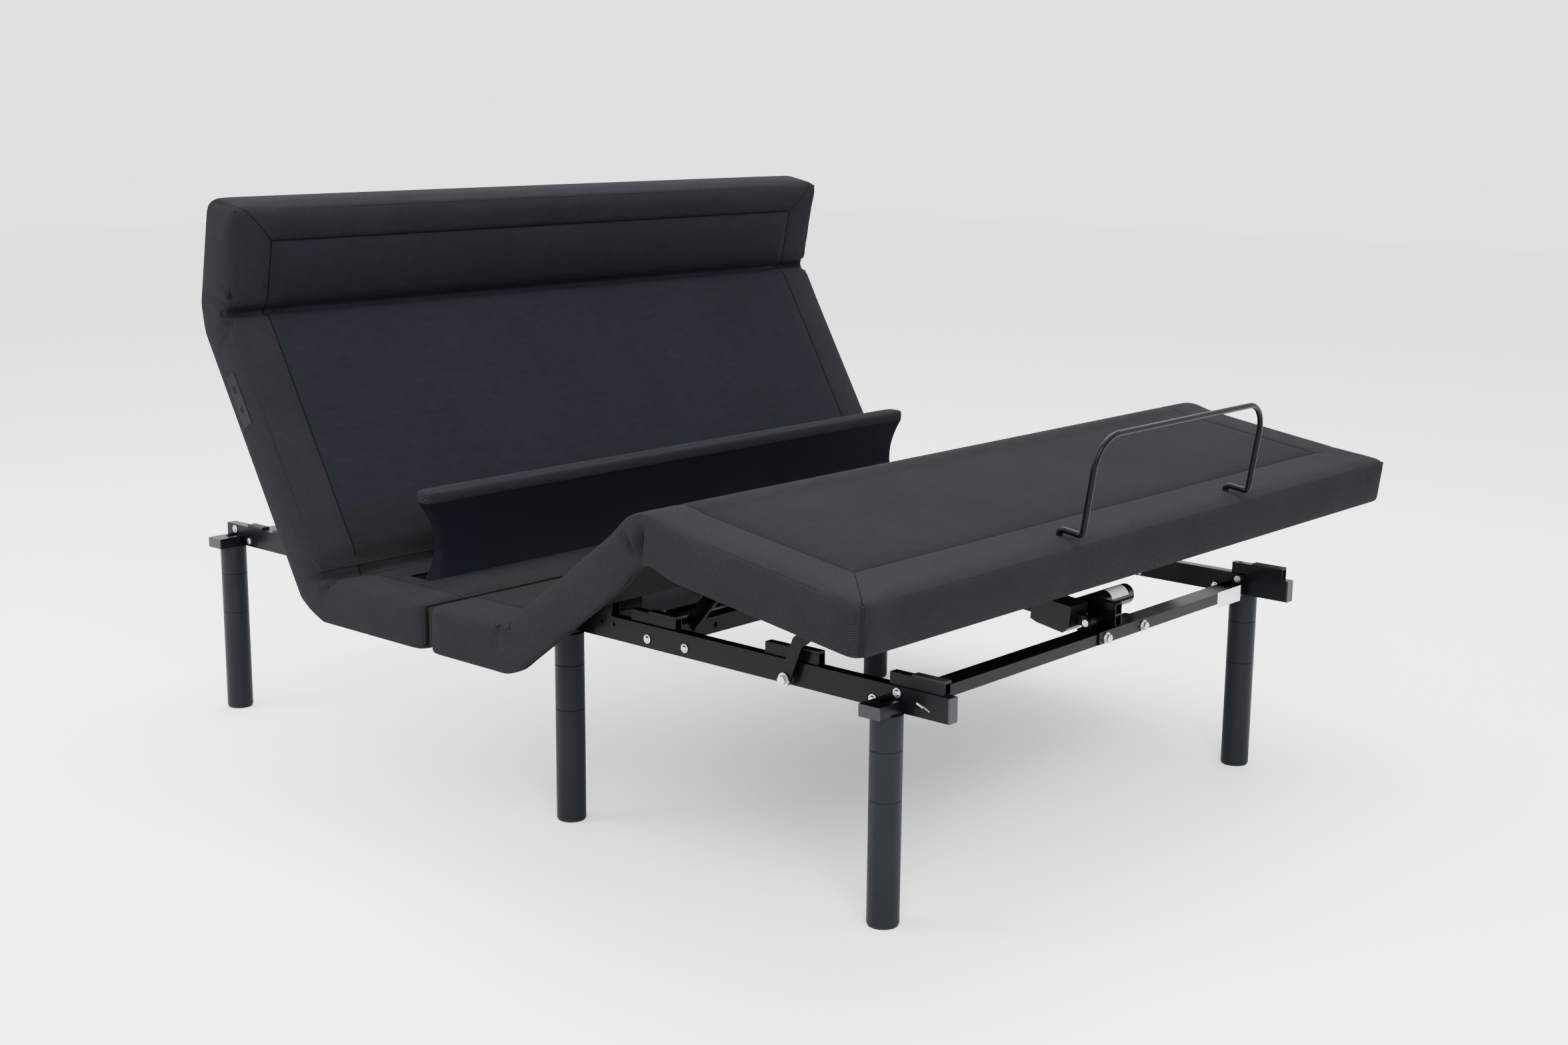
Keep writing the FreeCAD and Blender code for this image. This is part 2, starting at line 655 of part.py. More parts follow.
head_crank_low = along(head_axis, head_crank_flat, head_crank_len, 1)


def make_lift(axis, tip, crank, crank_x, arm_x, tube_body):
    """Torque tube with two lift arms, a crank for the actuator, stub shafts and roller pins."""
    stub = rod_x(-rail_in + 1, rail_in - 1, axis[0], axis[1], stub_r)
    parts = [stub, bar_x(axis, crank, 26.0, crank_x - crank_t / 2, crank_x + crank_t / 2)]
    pin_reach = crank_t / 2 + side_gap + fork_t + 1.5
    parts.append(rod_x(crank_x - pin_reach, crank_x + pin_reach, crank[0], crank[1], crank_pin_r))
    for side in (-1, 1):
        x0, x1 = sorted((side * arm_x, side * (arm_x + lift_arm_t)))
        parts.append(bar_x(axis, tip, lift_arm_w - 6, x0, x1))
        p0, p1 = sorted((side * (arm_x - roller_w - 4), side * (arm_x + lift_arm_t + 2)))
        parts.append(rod_x(p0, p1, tip[0], tip[1], roller_pin_r))
    return tube_body.fuse(parts).removeSplitter()


def make_rollers(tip, arm_x):
    rollers = []
    for side in (-1, 1):
        x0, x1 = sorted((side * (arm_x - side_gap), side * (arm_x - side_gap - roller_w)))
        roller = rod_x(x0, x1, tip[0], tip[1], roller_r)
        rollers.append(roller.cut(rod_x(x0 - 1, x1 + 1, tip[0], tip[1], roller_pin_r + pin_gap)))
    return rollers


def make_bearing(axis):
    plate = box(rail_in - 2 * plate_t, rail_in, axis[0] - bearing_half, axis[0] + bearing_half,
                axis[1] - stub_r - bearing_wall, rail_top - 1)
    return plate.cut(rod_x(rail_in - 20, rail_in + 1, axis[0], axis[1], stub_r + pin_gap))


torque_reach = rail_in - 2 * plate_t - side_gap
square_tube = box(-torque_reach, torque_reach, foot_axis[0] - torque_r, foot_axis[0] + torque_r,
                  foot_axis[1] - torque_r, foot_axis[1] + torque_r)
torque_face = foot_axis[0] - torque_r
square_tube = square_tube.cut([rod_y(torque_face - 1, torque_face + 6, x, foot_axis[1], torque_hole_r)
                               for x in (-torque_hole_x, torque_hole_x)])
round_tube = rod_x(-torque_reach, torque_reach, head_axis[0], head_axis[1], torque_r)
add("foot_lift_frame", make_lift(foot_axis, foot_roller, foot_crank, act_foot_x, foot_arm_x, square_tube))
add("foot_lift_rollers", make_rollers(foot_roller, foot_arm_x))
add("head_lift_frame", make_lift(head_axis, head_roller, head_crank, act_head_x, head_arm_x, round_tube))
add("head_lift_rollers", make_rollers(head_roller, head_arm_x))
add("pivot_brackets", both(make_bearing(foot_axis)) + both(make_bearing(head_axis)))


def slope(p, q):
    return math.degrees(math.atan2(q[1] - p[1], q[0] - p[0]))


def span(p, q):
    return math.hypot(q[0] - p[0], q[1] - p[1])


def drift(pivot, pin_low, pin_up, pin_half):
    """Where the pin stands halfway, seen from a rod whose length and slope change evenly."""
    mean_slope = (slope(pivot, pin_low) + slope(pivot, pin_up)) / 2
    mean_length = (span(pivot, pin_low) + span(pivot, pin_up)) / 2
    seen = turned(pin_half, pivot, -mean_slope)
    return (seen[0] - pivot[0] - mean_length, seen[1] - pivot[1])


def slotted_eye(y, z, away, r, x0, x1):
    """Slot in which a pin can travel from (y, z) to the place it takes halfway."""
    return bar_x((y, z), (y + away[0], z + away[1]), 2 * r, x0, x1)


def make_actuator(pivot, tip, x, motor_way, tube_len, away):
    """Housing, motor and rod of a linear actuator, drawn level from its rear pivot and then turned."""
    y, z = pivot
    lug = rod_x(x - 6, x + 6, y, z, act_lug_r)
    lug = lug.fuse(box(x - 6, x + 6, y, y + 24, z - act_lug_r, z + act_lug_r))
    low = z - box_h / 2
    outline = [(y + 24, low + 12), (y + 36, low), (y + box_len, low + 4), (y + box_len + 14, z - 17),
               (y + box_len + 14, z + 17), (y + box_len, z + box_h / 2), (y + 24, z + box_h / 2)]
    gear_case = plate_x(outline, x - box_w / 2, x + box_w / 2)
    start = y + box_len + 14
    shell = rod_y(start, start + tube_len, x, z, act_tube_r)
    bore = rod_y(start + 6, start + tube_len + 1, x, z, act_rod_r + 0.1)
    housing = lug.fuse([gear_case, shell]).cut([bore, rod_x(x - 7, x + 7, y, z, act_pin_r + pin_gap)])
    ends = sorted((x + motor_way * box_w / 2, x + motor_way * (box_w / 2 + motor_len)))
    motor = rod_x(ends[0], ends[1], y + 52, z + 2, motor_r)
    motor = motor.makeFillet(2.0, [e for e in motor.Edges if e.Length > 2 * motor_r])
    length = span(pivot, tip)
    rod = rod_y(start + tube_len - 60, y + length - fork_depth - 2, x, z, act_rod_r)
    cheek_x = x + crank_t / 2 + side_gap + fork_t
    low = z - 10 + min(away[1], 0)
    high = z + 10 + max(away[1], 0)
    yoke = box(2 * x - cheek_x, cheek_x, y + length - fork_depth - 8, y + length + 10, low, high)
    gap = box(x - crank_t / 2 - side_gap, x + crank_t / 2 + side_gap,
              y + length - fork_depth, y + length + 11, low - 1, high + 1)
    eye = slotted_eye(y + length, z, away, crank_pin_r + eye_play, x - 20, x + 20)
    rod = rod.fuse(yoke).removeSplitter().cut([gap, eye])
    pitch = slope(pivot, tip)
    return [turn(part, pivot, pitch) for part in (housing, motor, rod)]


def make_rear_bracket(pivot, x, base_z, y0, y1):
    """Two cheeks that hold the rear pin of an actuator, standing on or hanging from a crossbar."""
    cheeks = []
    low, high = sorted((base_z, pivot[1]))
    for side in (-1, 1):
        x0, x1 = sorted((x + side * (6 + side_gap), x + side * (6 + side_gap + 5)))
        cheek = box(x0, x1, y0, y1, low, high).fuse(rod_x(x0, x1, pivot[0], pivot[1], act_lug_r))
        cheek = cheek.removeSplitter()
        cheeks.append(cheek.cut(rod_x(x0 - 1, x1 + 1, pivot[0], pivot[1], act_pin_r + pin_gap)))
    return cheeks


foot_crank_half = along(foot_axis, (foot_crank_flat + foot_crank_up) / 2, foot_crank_len, -1)
head_crank_half = along(head_axis, (head_crank_flat + head_crank_up) / 2, head_crank_len, 1)
foot_away = drift(act_foot_pivot, foot_crank_low, foot_crank, foot_crank_half)
head_away = drift(act_head_pivot, head_crank_low, head_crank, head_crank_half)
foot_act = make_actuator(act_foot_pivot, foot_crank, act_foot_x, 1, foot_tube_len, foot_away)
head_act = make_actuator(act_head_pivot, head_crank, act_head_x, -1, head_tube_len, head_away)
for name, parts in (("foot", foot_act), ("head", head_act)):
    add(name + "_actuator_housing", parts[0])
    add(name + "_actuator_motor", parts[1])
    add(name + "_actuator_rod", parts[2])
foot_cheek_y = (act_foot_pivot[0] - act_lug_r, act_foot_pivot[0] + act_lug_r)
head_cheek_y = (act_head_pivot[0] - act_lug_r, act_head_pivot[0] + act_lug_r)
add("pivot_brackets", make_rear_bracket(act_foot_pivot, act_foot_x, sleeve_top, *foot_cheek_y))
add("pivot_brackets", make_rear_bracket(act_head_pivot, act_head_x, rail_z, *head_cheek_y))
for pivot, x in ((act_foot_pivot, act_foot_x), (act_head_pivot, act_head_x)):
    add("actuator_pins", rod_x(x - 14, x + 14, pivot[0], pivot[1], act_pin_r))


# ---- bent links that carry the foot panel --------------------------------------------------------
def link_reach():
    """Distance of the upper pivot from the knee, so that the link is as long flat as raised."""
    drop = link_end_drop - hinge_depth
    up_knee = turned(knee_axis, thigh_axis, -thigh_angle)

    def difference(reach):
        flat = (knee_y - reach, axis_z - drop)
        up = turned(turned(flat, knee_axis, knee_angle), thigh_axis, -thigh_angle)
        return span(link_pivot, flat) - span(link_pivot, up)

    low, high = 150.0, foot_len - 40.0
    for _ in range(60):
        middle = (low + high) / 2
        if difference(low) * difference(middle) <= 0:
            high = middle
        else:
            low = middle
    return low


link_far = (knee_y - link_reach(), deck_top - link_end_drop)
link_far_up = turned(turned(link_far, knee_axis, knee_angle), thigh_axis, -thigh_angle)
link_turn = slope(link_pivot, link_far) - slope(link_pivot, link_far_up)
link_far_half = turned(turned(link_far, knee_axis, knee_angle / 2), thigh_axis, -thigh_angle / 2)
link_away = drift(link_pivot, link_far, link_far_up, link_far_half)


def make_link():
    """Flat bar bent over the leg arm, drawn with the bed flat and turned about its lower pivot."""
    bend = (link_pivot[0] - 62.0, link_rise)
    runs = [link_pivot, bend, link_far]
    link = bar_x(runs[0], runs[1], link_w, link_x, link_x + link_t)
    link = link.fuse(bar_x(runs[1], runs[2], link_w, link_x, link_x + link_t)).removeSplitter()
    away = turned(link_away, (0.0, 0.0), slope(link_pivot, link_far))
    eye_end = (link_far[0] + away[0], link_far[1] + away[1])
    link = link.fuse(bar_x(link_far, eye_end, link_w, link_x, link_x + link_t)).removeSplitter()
    link = link.cut([rod_x(link_x - 1, link_x + link_t + 1, link_pivot[0], link_pivot[1], bolt_r + bolt_gap),
                     bar_x(link_far, eye_end, 2 * (bolt_r + link_play), link_x - 1, link_x + link_t + 1)])
    return turn(link, link_pivot, -link_turn)


def make_link_bolt():
    y, z = link_pivot
    out = link_x + link_t + side_gap
    bolt = rod_x(rail_in - 8, out + 2, y, z, bolt_r)
    spacer = rod_x(rail_out, link_x - side_gap, y, z, 9.0)
    washer = rod_x(out, out + 2, y, z, 11.0)
    head = hexagon_x(out + 2, out + 8, y, z, 8.0)
    return bolt.fuse([spacer, washer, head, hexagon_x(rail_in - 6, rail_in, y, z, 8.0)])


def make_link_lug():
    """Plate under the foot panel with the pin on which the link turns."""
    x0 = link_x + link_t + side_gap
    y, z = link_far
    outline = [(y - 30, board_low), (y + 30, board_low), (y + 9, z - 9), (y - 9, z - 9)]
    plate = plate_x(outline, x0, x0 + plate_t)
    flange = box(x0, x0 + 24, y - 30, y + 30, board_low - 3, board_low)
    pin = rod_x(link_x - side_gap, x0 + 1, y, z, bolt_r)
    return plate.fuse([flange, pin])


add("foot_links", both(make_link()))
add("hex_bolts", both(make_link_bolt()))
add("link_lugs", both(make_link_lug()), raise_foot)


# ---- pillow tilt actuator ------------------------------------------------------------------------
horn_flat = along(tilt_axis, -90.0 - horn_back, horn_len, 1)
horn_up = turned(horn_flat, tilt_axis, tilt_angle)
tilt_pivot = (back_hinge_y + tilt_act_start, axis_z - tilt_act_drop)
horn_away = drift(tilt_pivot, horn_flat, horn_up, turned(horn_flat, tilt_axis, tilt_angle / 2))


def make_tilt_gear():
    x = tilt_act_x
    y, z = tilt_pivot
    length = span(tilt_pivot, horn_up)
    lug = rod_x(x - 5, x + 5, y, z, 9.0).fuse(box(x - 5, x + 5, y, y + 20, z - 9, z + 9))
    case = box(x - 20, x + 20, y + 20, y + 70, z - 20, z + 18)
    shell = rod_y(y + 70, y + 70 + small_tube_len - 60, x, z, small_tube_r)
    bore = rod_y(y + 74, y + small_tube_len + 20, x, z, small_rod_r + 0.1)
    housing = lug.fuse([case, shell]).cut([bore, rod_x(x - 6, x + 6, y, z, 4.0 + pin_gap)])
    motor = rod_x(x - 20 - 95, x - 20, y + 45, z, 16.0)
    rod = rod_y(y + small_tube_len - 35, y + length - 18, x, z, small_rod_r)
    low = z - 8 + min(horn_away[1], 0)
    high = z + 8 + max(horn_away[1], 0)
    yoke = box(x - 11, x + 11, y + length - 22, y + length + 8, low, high)
    yoke = yoke.cut(box(x - 4.5, x + 4.5, y + length - 17, y + length + 9, low - 1, high + 1))
    eye = slotted_eye(y + length, z, horn_away, 4.0 + eye_play, x - 12, x + 12)
    rod = rod.fuse(yoke).cut(eye)
    pitch = slope(tilt_pivot, horn_up)
    return [turn(part, tilt_pivot, pitch) for part in (housing, motor, rod)]


def make_horn():
    x = tilt_act_x
    arm = bar_x((tilt_axis[0] + 24, axis_z - 11), horn_flat, 14.0, x - 4, x + 4)
    foot = box(x - 15, x + 15, tilt_axis[0] + 14, tilt_axis[0] + 60, board_low - 3, board_low)
    post = box(x - 4, x + 4, tilt_axis[0] + 17, tilt_axis[0] + 31, axis_z - 12, board_low)
    return arm.fuse([foot, post, rod_x(x - 12, x + 12, horn_flat[0], horn_flat[1], 4.0)]).removeSplitter()


def make_tilt_bracket():
    x = tilt_act_x
    cheeks = []
    for side in (-1, 1):
        x0, x1 = sorted((x + side * 5.5, x + side * 9.5))
        cheeks.append(box(x0, x1, tilt_pivot[0] - 9, tilt_pivot[0] + 9, tilt_pivot[1], board_low).fuse(
            rod_x(x0, x1, tilt_pivot[0], tilt_pivot[1], 9.0)))
    bracket = cheeks[0].fuse([cheeks[1], rod_x(x - 10, x + 10, tilt_pivot[0], tilt_pivot[1], 4.0)])
    return bracket.removeSplitter()


tilt_gear = make_tilt_gear()
add("pillow_actuator_housing", tilt_gear[:2], raise_back)
add("pillow_actuator_rod", tilt_gear[2], raise_back)
add("back_hinges", make_tilt_bracket(), raise_back)
add("pillow_hinges", make_horn(), raise_tilt)


# ==== lumbar bar ==================================================================================
lumbar_low = deck_top + lumbar_rise
lumbar_top = lumbar_low + lumbar_h
skirt_low = deck_top - skirt_drop
lum0 = lumbar_y - lumbar_d / 2
lum1 = lumbar_y + lumbar_d / 2
core = square_tube_x(-lumbar_half + core_wall, lumbar_half - core_wall, lum0 + core_wall, lum1 - core_wall,
                     lumbar_low + 3, lumbar_top - 5, 1.5)
cushion = box(-lumbar_half, lumbar_half, lum0, lum1, lumbar_low, lumbar_top)
cushion = cushion.cut(box(-lumbar_half + core_wall, lumbar_half - core_wall,
                          lum0 + core_wall, lum1 - core_wall,
                          lumbar_low - 1, lumbar_top - 5))
add("lumbar_bar", core)
add("lumbar_pad", cushion)
bridge_top = board_low - guide_drop
bridge_low = bridge_top - guide_t


def make_bridge(reach):
    """A U-shaped bracket under the slot, screwed to the board on both sides of it."""
    outer = box(-reach, reach, slot_y0 - 30, slot_y1 + 30, bridge_low, board_low)
    inner = box(-reach - 1, reach + 1, slot_y0 - guide_t, slot_y1 + guide_t, bridge_top, board_low + 1)
    return outer.cut(inner)


posts = []
guides = []
for x in (-post_x, post_x):
    posts.append(rod_z(post_low, lumbar_low + 3, x, lumbar_y, post_r))
    bridge = make_bridge(40.0)
    bridge.translate(V(x, 0, 0))
    guide = bridge.fuse(rod_z(post_low + 5, bridge_top, x, lumbar_y, guide_r)).removeSplitter()
    guides.append(guide.cut(rod_z(post_low, bridge_top + 1, x, lumbar_y, post_r + pin_gap)))
add("lumbar_bar", posts)
add("lumbar_guides", guides)
lum_case_low = post_low - 150
lum_motor_top = post_low - 110
lum_rod = rod_z(post_low + 15, lumbar_low + 3, 0, lumbar_y, 6.0)
lum_case = rod_z(lum_case_low, post_low + 45, 0, lumbar_y, 13.0).cut(
    rod_z(lum_case_low + 5, post_low + 46, 0, lumbar_y, 6.1))
lum_case = lum_case.fuse(box(-70, -12, lumbar_y - 18, lumbar_y + 18, lum_case_low, lum_motor_top))
lum_hanger = make_bridge(30.0).fuse(box(-24, 24, lumbar_y - 18, lumbar_y + 18, post_low + 20, bridge_top))
lum_hanger = lum_hanger.removeSplitter().cut(rod_z(post_low, board_low + 1, 0, lumbar_y, 13.0))
add("lumbar_actuator", [lum_case, lum_hanger])
add("lumbar_bar", lum_rod)
skirt = box(-lumbar_half + 2, lumbar_half - 2, lum0 + 2, lum1 - 2, skirt_low, lumbar_low)
hole = box(-lumbar_half + 2 + skirt_wall, lumbar_half - 2 - skirt_wall, lum0 + 2 + skirt_wall,
           lum1 - 2 - skirt_wall, skirt_low - 1, lumbar_low + 1)
add("lumbar_skirt", skirt.cut(hole))

# ==== retainer bar at the foot ====================================================================
hoop_y = foot_edge + hoop_from_edge
tip_y = hoop_y - hoop_reach


def make_retainer():
    points = [V(-hoop_half, hoop_y, board_top + 0.5), V(-hoop_half, hoop_y, deck_top + hoop_foot_h),
              V(-hoop_half, tip_y, deck_top + hoop_foot_h), V(-hoop_half, tip_y, deck_top + hoop_h),
              V(hoop_half, tip_y, deck_top + hoop_h), V(hoop_half, tip_y, deck_top + hoop_foot_h),
              V(hoop_half, hoop_y, deck_top + hoop_foot_h), V(hoop_half, hoop_y, board_top + 0.5)]
    small = hoop_small_bend
    return wire_solid(points, [small, small, hoop_bend, hoop_bend, small, small], wire_r)


def make_grommet(x):
    ring = rod_z(deck_top, deck_top + grommet_t, x, hoop_y, grommet_r)
    return ring.cut(rod_z(deck_top - 1, deck_top + 5, x, hoop_y, wire_r + wire_gap))


grommet_hole = [rod_z(board_top - 1, deck_top + 1, x, hoop_y, wire_r + wire_gap)
                for x in (-hoop_half, hoop_half)]
grommet_hole = [turn(turn(h, knee_axis, knee_angle), thigh_axis, -thigh_angle) for h in grommet_hole]
nodes["foot_pad"][0] = nodes["foot_pad"][0].cut(grommet_hole).Solids[0]
add("retainer_bar", make_retainer(), raise_foot)
add("retainer_grommets", [make_grommet(-hoop_half), make_grommet(hoop_half)], raise_foot)

# ==== electrics ===================================================================================
usb_y = back_hinge_y + usb_u
usb = box(-half - usb_t, -half, usb_y - usb_len / 2, usb_y + usb_len / 2,
          axis_z - usb_drop - usb_h / 2, axis_z - usb_drop + usb_h / 2)
usb = usb.makeFillet(3.0, [e for e in usb.Edges if abs(e.tangentAt(e.FirstParameter).x) > 0.9])
ports = [box(-half - usb_t - 1, -half - usb_t + 2, usb_y + a, usb_y + b, axis_z - usb_drop - 3.5,
             axis_z - usb_drop + 3.5) for a, b in ((14, 27), (-24, -14))]
add("usb_panel", usb.cut(ports), raise_back)
box_x = -430.0
box_y = -70.0
box_z = board_low - box_size[2]
control = box(box_x, box_x + box_size[0], box_y, box_y + box_size[1], box_z, board_low)
add("control_box", control)
psu_z = board_low - psu_size[2]
add("power_supply", box(200, 200 + psu_size[0], box_y, box_y + psu_size[1], psu_z, board_low))


def make_cables():
    """Three leads between the control box and the actuators, clipped up under the deck."""
    out_z = box_z + 12
    foot_motor_x = act_foot_x + box_w / 2 + 60
    foot_motor_back = act_foot_pivot[0] + 52 + motor_r + lead_gap
    head_motor_end = act_head_x - box_w / 2 - motor_len
    motor_y = act_head_pivot[0] + 52
    motor_z = act_head_pivot[1] + 2
    back_face = box_y + box_size[1]
    first = [V(box_x + 150, box_y, out_z), V(box_x + 150, -105, out_z), V(-180, -118, rail_z - 26),
             V(-60, -260, rail_z - 28), V(60, -430, rail_z + 2), V(foot_motor_x, -520, rail_z + 34),
             V(foot_motor_x, foot_motor_back, act_foot_pivot[1] + 7)]
    second = [V(box_x + 110, back_face, out_z), V(box_x + 110, back_face + 26, out_z),
              V(head_motor_end - 60, back_face + 40, motor_z + 30), V(head_motor_end - 40, motor_y, motor_z),
              V(head_motor_end, motor_y, motor_z)]
    third = [V(box_x + 40, back_face, out_z), V(box_x + 40, 90, out_z), V(-300, 150, rail_z),
             V(-150, 180, rail_z - 40), V(-60, 214, rail_z - 78), V(-45, 232, rail_z - 94),
             V(-45, 232, lum_motor_top)]
    leads = []
    for points in (first, second, third):
        radii = []
        for i in range(1, len(points) - 1):
            before = points[i - 1] - points[i]
            after = points[i + 1] - points[i]
            half_turn = (math.pi - before.getAngle(after)) / 2
            radii.append(0.42 * min(before.Length, after.Length) / math.tan(half_turn))
        leads.append(wire_solid(points, radii, cable_r))
    return leads


add("motor_cables", make_cables())

# ==== write the nodes =============================================================================
os.makedirs("parts", exist_ok=True)
for name, solids in nodes.items():
    shape = solids[0] if len(solids) == 1 else Part.makeCompound(solids)
    shape.translate(V(0, -origin_y, 0))
    shape.exportStep("parts/" + name + ".step")
print(len(nodes), "nodes")

head_pitch = slope(act_head_pivot, head_crank) - slope(act_head_pivot, head_crank_low)
foot_pitch = slope(act_foot_pivot, foot_crank) - slope(act_foot_pivot, foot_crank_low)
tilt_pitch = slope(tilt_pivot, horn_up) - slope(tilt_pivot, horn_flat)
print("back axis", back_axis, "thigh axis", thigh_axis)
print("knee axis", turned(knee_axis, thigh_axis, -thigh_angle))
print("pillow axis", turned(tilt_axis, back_axis, back_angle))
print("foot arm", foot_arm_up - foot_arm_flat, "roller", foot_roller)
print("head arm", head_arm_up - head_arm_flat, "roller", head_roller)
print("foot actuator pitch", foot_pitch, "angle", slope(act_foot_pivot, foot_crank), "stroke",
      span(act_foot_pivot, foot_crank) - span(act_foot_pivot, foot_crank_low))
print("head actuator pitch", head_pitch, "angle", slope(act_head_pivot, head_crank), "stroke",
      span(act_head_pivot, head_crank) - span(act_head_pivot, head_crank_low))
print("pillow actuator pitch", tilt_pitch, "angle", slope(tilt_pivot, horn_up), "stroke",
      span(tilt_pivot, horn_up) - span(tilt_pivot, horn_flat), "pivot",
      turned(tilt_pivot, back_axis, back_angle))
print("drifts", foot_away, head_away, horn_away, link_away)
print("link turn", link_turn, "far pivot", link_far, link_far_up)
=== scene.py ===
# %% [markdown]
# # Adjustable bed base
# This lesson dresses a CAD model of an adjustable bed base. Upholstery, stretch cloth and finishes are
# made here; the steel frame and its joints come from the CAD and stay where they are.
# The deck is drawn lying flat, sewn and puffed up with a short cloth simulation, and only then bent
# about its hinges into the raised position.

# %% Imports and the CAD frame
import math

import bmesh
import bpy
import numpy as np
from mathutils import Matrix, Vector


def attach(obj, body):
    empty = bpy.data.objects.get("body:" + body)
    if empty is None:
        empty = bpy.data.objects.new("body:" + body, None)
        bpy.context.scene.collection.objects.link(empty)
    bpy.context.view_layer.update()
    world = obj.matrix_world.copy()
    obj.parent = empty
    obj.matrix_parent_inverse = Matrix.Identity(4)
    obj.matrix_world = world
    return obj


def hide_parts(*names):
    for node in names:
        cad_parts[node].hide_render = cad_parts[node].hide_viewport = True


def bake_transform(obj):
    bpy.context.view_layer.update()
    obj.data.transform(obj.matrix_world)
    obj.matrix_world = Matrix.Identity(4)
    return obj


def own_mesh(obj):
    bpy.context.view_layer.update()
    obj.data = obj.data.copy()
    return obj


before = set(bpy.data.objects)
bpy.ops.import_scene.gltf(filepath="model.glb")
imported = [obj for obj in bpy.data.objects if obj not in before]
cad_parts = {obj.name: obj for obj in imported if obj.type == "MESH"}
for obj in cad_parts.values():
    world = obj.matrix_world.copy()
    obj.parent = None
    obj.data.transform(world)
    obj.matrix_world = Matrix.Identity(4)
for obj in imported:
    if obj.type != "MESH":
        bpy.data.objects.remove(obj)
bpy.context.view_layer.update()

# %% [markdown]
# ## Measures of the deck
# The same measures as in the CAD, in metres. `Y` values are those of the bed lying flat. Each half of
# the deck is one continuous cover that bends at two hinges.

# %% Measures
HALF = 0.790               # half the width over the cover
TOP, LOW = 0.417, 0.337    # mattress surface and lower edge of the cover when flat
AXIS_Z = 0.403
SHIFT = -0.080             # from the middle legs to the middle of the outline
BACK_Y = 0.368 + SHIFT
TILT_Y = BACK_Y + 0.524
HEAD_Y = TILT_Y + 0.198
THIGH_Y = -0.1137 + SHIFT
KNEE_Y = THIGH_Y - 0.376
FOOT_Y = KNEE_Y - 0.447
SPLIT_Y = 0.082 + SHIFT
BACK, TILT, THIGH, KNEE = (math.radians(a) for a in (60.0, 40.5, 36.8, 45.3))
SLOT_HALF, SLOT_Y0, SLOT_Y1 = 0.670, 0.210 + SHIFT, 0.266 + SHIFT
PATCH_Y = BACK_Y + 0.125   # the seat cloth ends here and the felt of the back begins
ROOT = "frame"             # the body that stands still
SPLIT_GAP = 0.005          # from the split to the cover of either half
print("flat length", round(HEAD_Y - FOOT_Y, 3))

# %% [markdown]
# ## Shared shader groups
# Each group turns a position into a colour factor and a height. Cloth patterns read the attribute
# `weave`, which holds the place on the flat cloth, so that threads follow every fold.

# %% Node helpers
def new_group(name, inputs, outputs):
    """An empty shader group with the given sockets; returns it with its input and output nodes."""
    group = bpy.data.node_groups.new(name, "ShaderNodeTree")
    for label, kind, value in inputs:
        socket = group.interface.new_socket(label, in_out="INPUT", socket_type=kind)
        if value is not None:
            socket.default_value = value
    for label, kind in outputs:
        group.interface.new_socket(label, in_out="OUTPUT", socket_type=kind)
    return group, group.nodes.new("NodeGroupInput"), group.nodes.new("NodeGroupOutput")


def math_node(tree, operation, a, b=None, clamp=False):
    """One Math node; a and b are sockets or numbers. Returns its output socket."""
    node = tree.nodes.new("ShaderNodeMath")
    node.operation = operation
    node.use_clamp = clamp
    for i, value in enumerate((a, b)):
        if value is None:
            continue
        if isinstance(value, (int, float)):
            node.inputs[i].default_value = value
        else:
            tree.links.new(value, node.inputs[i])
    return node.outputs[0]


def noise_node(tree, vector, scale, detail=2.0, rough=0.5):
    """One Noise node on a vector socket. Returns its Fac output."""
    node = tree.nodes.new("ShaderNodeTexNoise")
    node.inputs["Scale"].default_value = scale
    node.inputs["Detail"].default_value = detail
    node.inputs["Roughness"].default_value = rough
    tree.links.new(vector, node.inputs["Vector"])
    return node.outputs[0]


def stretch(tree, vector, scale):
    """A Mapping node that scales a vector socket."""
    node = tree.nodes.new("ShaderNodeMapping")
    node.inputs["Scale"].default_value = scale
    tree.links.new(vector, node.inputs["Vector"])
    return node.outputs[0]


# %% Twill, felt, knit and surface-wear groups
WEAVE_IN = ("Weave", "NodeSocketVector", None)
CLOTH_OUT = [("Shade", "NodeSocketFloat"), ("Height", "NodeSocketFloat")]


def product(group, a, b):
    """a times b."""
    return math_node(group, "MULTIPLY", a, b)


def total(group, a, b):
    """a plus b."""
    return math_node(group, "ADD", a, b)


def make_twill():
    """Diagonal ribs crossed by single threads: rib = |sin| of u + v, thread = |sin| of u - v."""
    group, src, out = new_group("twill", [WEAVE_IN, ("Rib", "NodeSocketFloat", 0.0034)], CLOTH_OUT)
    split = group.nodes.new("ShaderNodeSeparateXYZ")
    group.links.new(src.outputs["Weave"], split.inputs[0])
    u, v = split.outputs[0], split.outputs[1]
    k = math_node(group, "DIVIDE", math.pi, src.outputs["Rib"])
    rib = math_node(group, "ABSOLUTE", math_node(group, "SINE", product(
        group, total(group, u, product(group, v, 0.62)), k)))
    thread = math_node(group, "ABSOLUTE", math_node(group, "SINE", product(
        group, math_node(group, "SUBTRACT", v, product(group, u, 0.4)),
        product(group, k, 1.9))))
    slub = noise_node(group, stretch(group, src.outputs["Weave"], (60.0, 420.0, 60.0)), 1.0, 3.0)
    cloud = noise_node(group, src.outputs["Weave"], 9.0, 3.0)
    height = total(group, product(group, rib, 0.62), product(group, thread, 0.24))
    height = total(group, height, product(group, slub, 0.3))
    shade = product(group, height, total(group, product(group, cloud, 0.5), 0.62))
    group.links.new(shade, out.inputs["Shade"])
    group.links.new(height, out.inputs["Height"])
    return group


